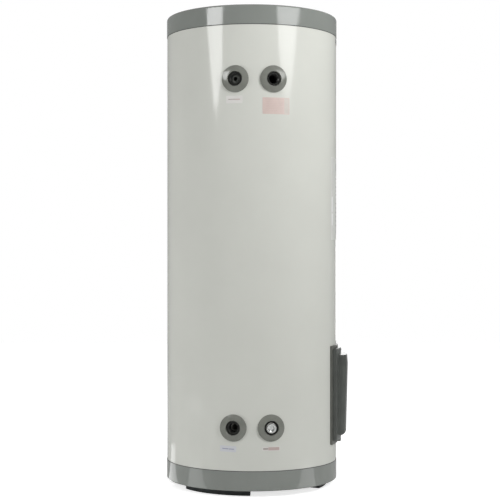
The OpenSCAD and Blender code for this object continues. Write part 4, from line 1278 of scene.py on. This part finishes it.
def makeThermostat():
    lo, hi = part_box("thermostat_body")
    c, size = (lo + hi) / 2, hi - lo
    dialLo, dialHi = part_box("thermostat_dial")
    buttonLo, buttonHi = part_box("reset_button")
    dialZ, buttonZ = (dialLo.z + dialHi.z) / 2, (buttonLo.z + buttonHi.z) / 2
    front = hi.x
    bm = bmesh.new()
    depth = size.x - 0.008
    addBox(bm, (lo.x + depth / 2, 0, c.z), (depth, size.y, size.z), 0.0016, steps=3)
    addBox(bm, (lo.x + size.x / 2, 0, c.z), (size.x - 0.0002, size.y - 0.010, size.z - 0.008), 0.0018, steps=3)
    obj = finishPiece(bm, "thermostatBody", "thermostat_body", ["phenolic"])
    cut = bmesh.new()
    m = elementAt(0, dialZ)
    addPin(cut, 0.0032, front - 0.006, front + 0.004, m, 40)
    m = elementAt(0, buttonZ)
    addLathe(cut, [(0, front - 0.009), (0.00325, front - 0.009), (0.00325, front - 0.005), (0.0050, front - 0.005),
                   (0.0050, front + 0.004), (0, front + 0.004)], m, 40)
    cutAway(obj, cut)
    bm = bmesh.new()
    ticks = wiringValues["dialTicks"]
    for k in range(ticks):
        a = math.radians(-120 + 240 * k / (ticks - 1))
        length = 0.0022 if k % 2 == 0 else 0.0013
        turn = Matrix.Translation((front, 0, dialZ)) @ Matrix.Rotation(a, 4, "X")
        addBox(bm, (0.0, 0, 0.0148), (0.0003, 0.0005, length), 0.00005, turn)
    finishPiece(bm, "dialScale", None, ["inkGrey"])
    bm = bmesh.new()
    for z in (c.z - size.z / 2 + 0.011, c.z + size.z / 2 - 0.011):
        for s in (-1, 1):
            m = elementAt(s * (size.y / 2 - 0.0022), z)
            x = front - 0.008
            addLathe(bm, [(0, x - 0.001), (0.0019, x - 0.001), (0.0019, x + 0.0009), (0.0016, x + 0.0013),
                          (0, x + 0.0013)], m, 28)
            addBox(bm, (x + 0.0014, s * (size.y / 2 - 0.0022), z), (0.0002, 0.0028, 0.0005), 0.00005)
    finishPiece(bm, "thermostatScrews", None, ["brass"])

    # dial, with its slot and pointer notch
    bm = bmesh.new()
    r = (dialHi.y - dialLo.y) / 2
    back, face = dialHi.x - 0.004, dialHi.x
    m = elementAt(0, dialZ)
    rows = [(0.0, dialLo.x, 0), (0.003, dialLo.x, 0), (0.003, back, 0), (r - 0.0006, back, 1), (r, back + 0.0005, 1),
            (r, face - 0.001, 1), (r - 0.0008, face - 0.0001, 0.4), (r - 0.0022, face - 0.0002, 0),
            (r - 0.003, face - 0.0009, 0), (0.0, face - 0.0009, 0)]
    teeth, depth = wiringValues["dialTeeth"], wiringValues["dialToothDepth"]
    addRings(bm, [ringOf(knurled(radius, knurl * depth, teeth), h, 96) for radius, h, knurl in rows], m)
    for s in (-1, 1):
        addBox(bm, (face - 0.0008, 0, dialZ + s * 0.0021), (0.0014, 2 * r - 0.008, 0.0022), 0.0004)
    addBox(bm, (face - 0.0003, 0, dialZ + r - 0.0035), (0.0008, 0.0012, 0.0030), 0.0002, mat=1)
    finishPiece(bm, "temperatureDial", "thermostat_dial", ["dialMoulding", "inkPale"], body="thermostat_dial")

    bm = bmesh.new()
    r = (buttonHi.y - buttonLo.y) / 2
    m = elementAt(0, buttonZ)
    top = buttonHi.x
    rows = [(0, buttonLo.x), (r - 0.0015, buttonLo.x), (r - 0.0015, top - 0.0055), (r - 0.0003, top - 0.0055),
            (r, top - 0.0052), (r, top - 0.0009), (r - 0.0003, top - 0.0003), (r - 0.0009, top),
            (r - 0.002, top - 0.0001), (r * 0.3, top - 0.0005), (0, top - 0.0006)]
    addLathe(bm, rows, m, 56)
    finishPiece(bm, "resetButton", "reset_button", ["buttonMoulding"], body="reset_button")


def makeTerminalBlock():
    lo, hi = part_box("terminal_block")
    c, size = (lo + hi) / 2, hi - lo
    pitch = wiringValues["terminalPitch"]
    bm = bmesh.new()
    addBox(bm, tuple(c), tuple(size), 0.0012, steps=3)
    obj = finishPiece(bm, "terminalBlock", "terminal_block", ["phenolic"])
    cut = bmesh.new()
    for k in (-1, 0, 1):
        m = elementAt(k * pitch, c.z)
        addPin(cut, 0.004, hi.x - 0.006, hi.x + 0.002, m, 40)
    for k in (-0.5, 0.5):
        addBox(cut, (hi.x, k * pitch, c.z), (0.006, 0.0012, 0.03), 0.0002)
    cutAway(obj, cut)
    bm = bmesh.new()
    for k in (-1, 0, 1):
        m = elementAt(k * pitch, c.z)
        x = hi.x - 0.0058
        addLathe(bm, [(0, x), (0.0034, x), (0.0034, x + 0.0016), (0.0028, x + 0.0024), (0.0, x + 0.0026)], m, 36)
    finishPiece(bm, "terminalScrews", None, ["brass"])


def makeEarthStud():
    lo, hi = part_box("earth_stud")
    y, z = (lo.y + hi.y) / 2, (lo.z + hi.z) / 2
    m = elementAt(y, z)
    bm = bmesh.new()
    rows = [(0, lo.x)]
    h = lo.x
    while h < hi.x - 0.0012:
        rows += [(0.0022, h), (0.0025, h + 0.0004)]
        h += 0.0008
    rows += [(0.0019, hi.x), (0, hi.x)]
    addLathe(bm, rows, m, 40)
    addHex(bm, 0.008, lo.x + 0.0055, lo.x + 0.0095, m, 0.0005)
    washer = [(0.0026, lo.x + 0.0046), (0.0048, lo.x + 0.0046), (0.0048, lo.x + 0.0055), (0.0026, lo.x + 0.0055)]
    addLathe(bm, washer, m, 40, around=True)
    finishPiece(bm, "earthStud", "earth_stud", ["brass"], sharp=28)


def makeWires():
    r = wiringValues["wireR"]
    blockLo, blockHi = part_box("terminal_block")
    blockX, blockZ = blockHi.x, (blockLo.z + blockHi.z) / 2
    bodyLo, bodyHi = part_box("thermostat_body")
    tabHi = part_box("element_terminals")[1]
    tabX, tabZ = tabHi.x, tabHi.z - 0.00315
    tabY = tabHi.y - 0.0004
    x0 = bodyLo.x
    mid = (bodyLo.z + bodyHi.z) / 2
    lugY = bodyLo.y - 0.0003
    dialZ = mid - 0.020
    stud = middle("earth_stud")
    routes = {
        "activeWire": ("active_wire", "wire_brown", "wireBrown", [
            (blockX + 0.0003, -0.016, blockZ), (blockX + 0.012, -0.018, blockZ - 0.004),
            (blockX + 0.008, -0.030, blockZ - 0.012), (x0 + 0.015, -0.035, mid + 0.034),
            (x0 + 0.012, -0.031, mid + 0.029), (x0 + 0.012, lugY, mid + 0.029)]),
        "neutralWire": ("neutral_wire", "wire_blue", "wireBlue", [
            (blockX + 0.0003, 0, blockZ), (blockX + 0.012, 0.006, blockZ - 0.003),
            (blockX + 0.010, 0.032, blockZ - 0.018), (x0 + 0.022, 0.036, mid),
            (x0 + 0.024, 0.034, dialZ - 0.030), (tabX + 0.014, tabY + 0.007, tabZ + 0.027),
            (tabX + 0.012, tabY, tabZ + 0.005), (tabX + 0.0003, tabY, tabZ)]),
        "switchedWire": ("switched_wire", "wire_orange", "wireOrange", [
            (x0 + 0.012, lugY, mid - 0.029), (x0 + 0.012, -0.031, mid - 0.029),
            (x0 + 0.022, -0.036, dialZ - 0.026), (tabX + 0.014, -tabY - 0.009, tabZ + 0.027),
            (tabX + 0.012, -tabY, tabZ + 0.005), (tabX + 0.0003, -tabY, tabZ)]),
        "earthWire": ("earth_wire", "wire_earth", "wireEarth", [
            (blockX + 0.0003, 0.016, blockZ), (blockX + 0.010, 0.024, blockZ - 0.004),
            (blockX + 0.004, 0.044, blockZ - 0.020), (blockX - 0.004, 0.058, dialZ + 0.040),
            (blockX - 0.004, 0.058, dialZ + 0.016), (blockX - 0.006, stud.y, dialZ + 0.0046)]),
    }
    for name, (node, slotName, material, points) in routes.items():
        bm = bmesh.new()
        addTube(bm, points, r)
        # crimped lug sleeves at both ends
        for end, inward in ((points[0], points[1]), (points[-1], points[-2])):
            a, b = Vector(end), Vector(inward)
            addTube(bm, [a, a + (b - a).normalized() * wiringValues["lugLength"]], r + 0.0004, 16, 1)
        finishPiece(bm, name, node, [material, "zincPlate"], sharp=35)


def makeElementFace():
    # brass flange with its bosses, the gasket's edge, bolts and push-on terminals
    lo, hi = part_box("element_flange")
    z = (lo.z + hi.z) / 2
    r = (hi.z - lo.z) / 2
    m = elementAt(0, z)
    face = hi.x - 0.004
    bm = bmesh.new()
    rows = [(0, lo.x), (r - 0.0006, lo.x), (r, lo.x + 0.0006), (r, face - 0.001), (r - 0.001, face),
            (0.0335, face), (0.0328, face - 0.0006), (0.0318, face - 0.0006), (0.031, face), (0.0262, face),
            (0.0248, face + 0.0006), (0.0240, face + 0.0016), (0.0240, hi.x - 0.0008), (0.0232, hi.x), (0, hi.x)]
    addLathe(bm, rows, m, 120)
    finishPiece(bm, "elementFlange", "element_flange", ["brass"])

    across = wiringValues["boltAcross"]
    boltLo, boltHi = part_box("element_bolts")
    boltR, pcd, count = (wiringValues[n] for n in ("boltR", "boltCircleR", "boltCount"))
    bm = bmesh.new()
    for k in range(count):
        a = math.radians(360 / count * k)
        place = elementAt(pcd * math.sin(a), z - pcd * math.cos(a))
        washer = [(boltR, face), (0.0084, face), (0.0086, face + 0.0003), (0.0086, face + 0.0011),
                  (0.0082, face + 0.0014), (boltR, face + 0.0014)]
        addLathe(bm, washer, place, 40)
        addHex(bm, across, face + 0.0012, boltHi.x, place, 0.0007)
        addLathe(bm, [(0, boltLo.x), (boltR - 0.0006, boltLo.x), (boltR, boltLo.x + 0.0006), (boltR, face)], place, 32)
    finishPiece(bm, "elementBolts", "element_bolts", ["zincPlate"], sharp=28)

    tabLo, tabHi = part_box("element_terminals")
    bm = bmesh.new()
    for sy in (-1, 1):
        for sz in (-1, 1):
            y, tz = sy * (tabHi.y - 0.0004), z + sz * (tabHi.z - z - 0.00315)
            addBox(bm, ((tabLo.x + tabHi.x) / 2, y, tz), (tabHi.x - tabLo.x, 0.0008, 0.0063), 0.0002)
            place = elementAt(y, tz)
            bead = [(0.0008, hi.x), (0.0034, hi.x), (0.0037, hi.x + 0.0004), (0.0036, hi.x + 0.0018),
                    (0.0026, hi.x + 0.0028), (0.0012, hi.x + 0.0030)]
            addLathe(bm, bead, place, 32, 1)
    finishPiece(bm, "elementTerminals", "element_terminals", ["brass", "phenolic"])


makeThermostat()
makeTerminalBlock()
makeEarthStud()
makeWires()
makeElementFace()
print("element and wiring made")


# materials for the nodes that keep their own shape

finishes = {
    "barrel": "vesselSteel", "top_dome": "vesselSteel", "bottom_dome": "vesselSteel", "insulation": "foamFill",
    "base_pad": "foamFill", "hot_outlet_liner": "linerPlastic", "cold_inlet_diffuser": "linerPlastic",
    "element_port": "vesselSteel", "element_gasket": "softRubber", "element_tubes": "heaterTube",
    "thermostat_bracket": "galvanised", "anode_socket": "socketSteel", "anode_head": "brass",
    "anode_core": "zincPlate", "anode_rod": "magnesium", "anode_plug": "foamFill",
}
for node, material in finishes.items():
    mesh = frame["nodes"][node].data
    mesh.materials.clear()
    mesh.materials.append(looks[material])
print("frame finishes:", len(finishes))

unseen = sorted(n for n, o in frame["nodes"].items() if not o.hide_render and n not in finishes)
print("nodes with no finish:", unseen)
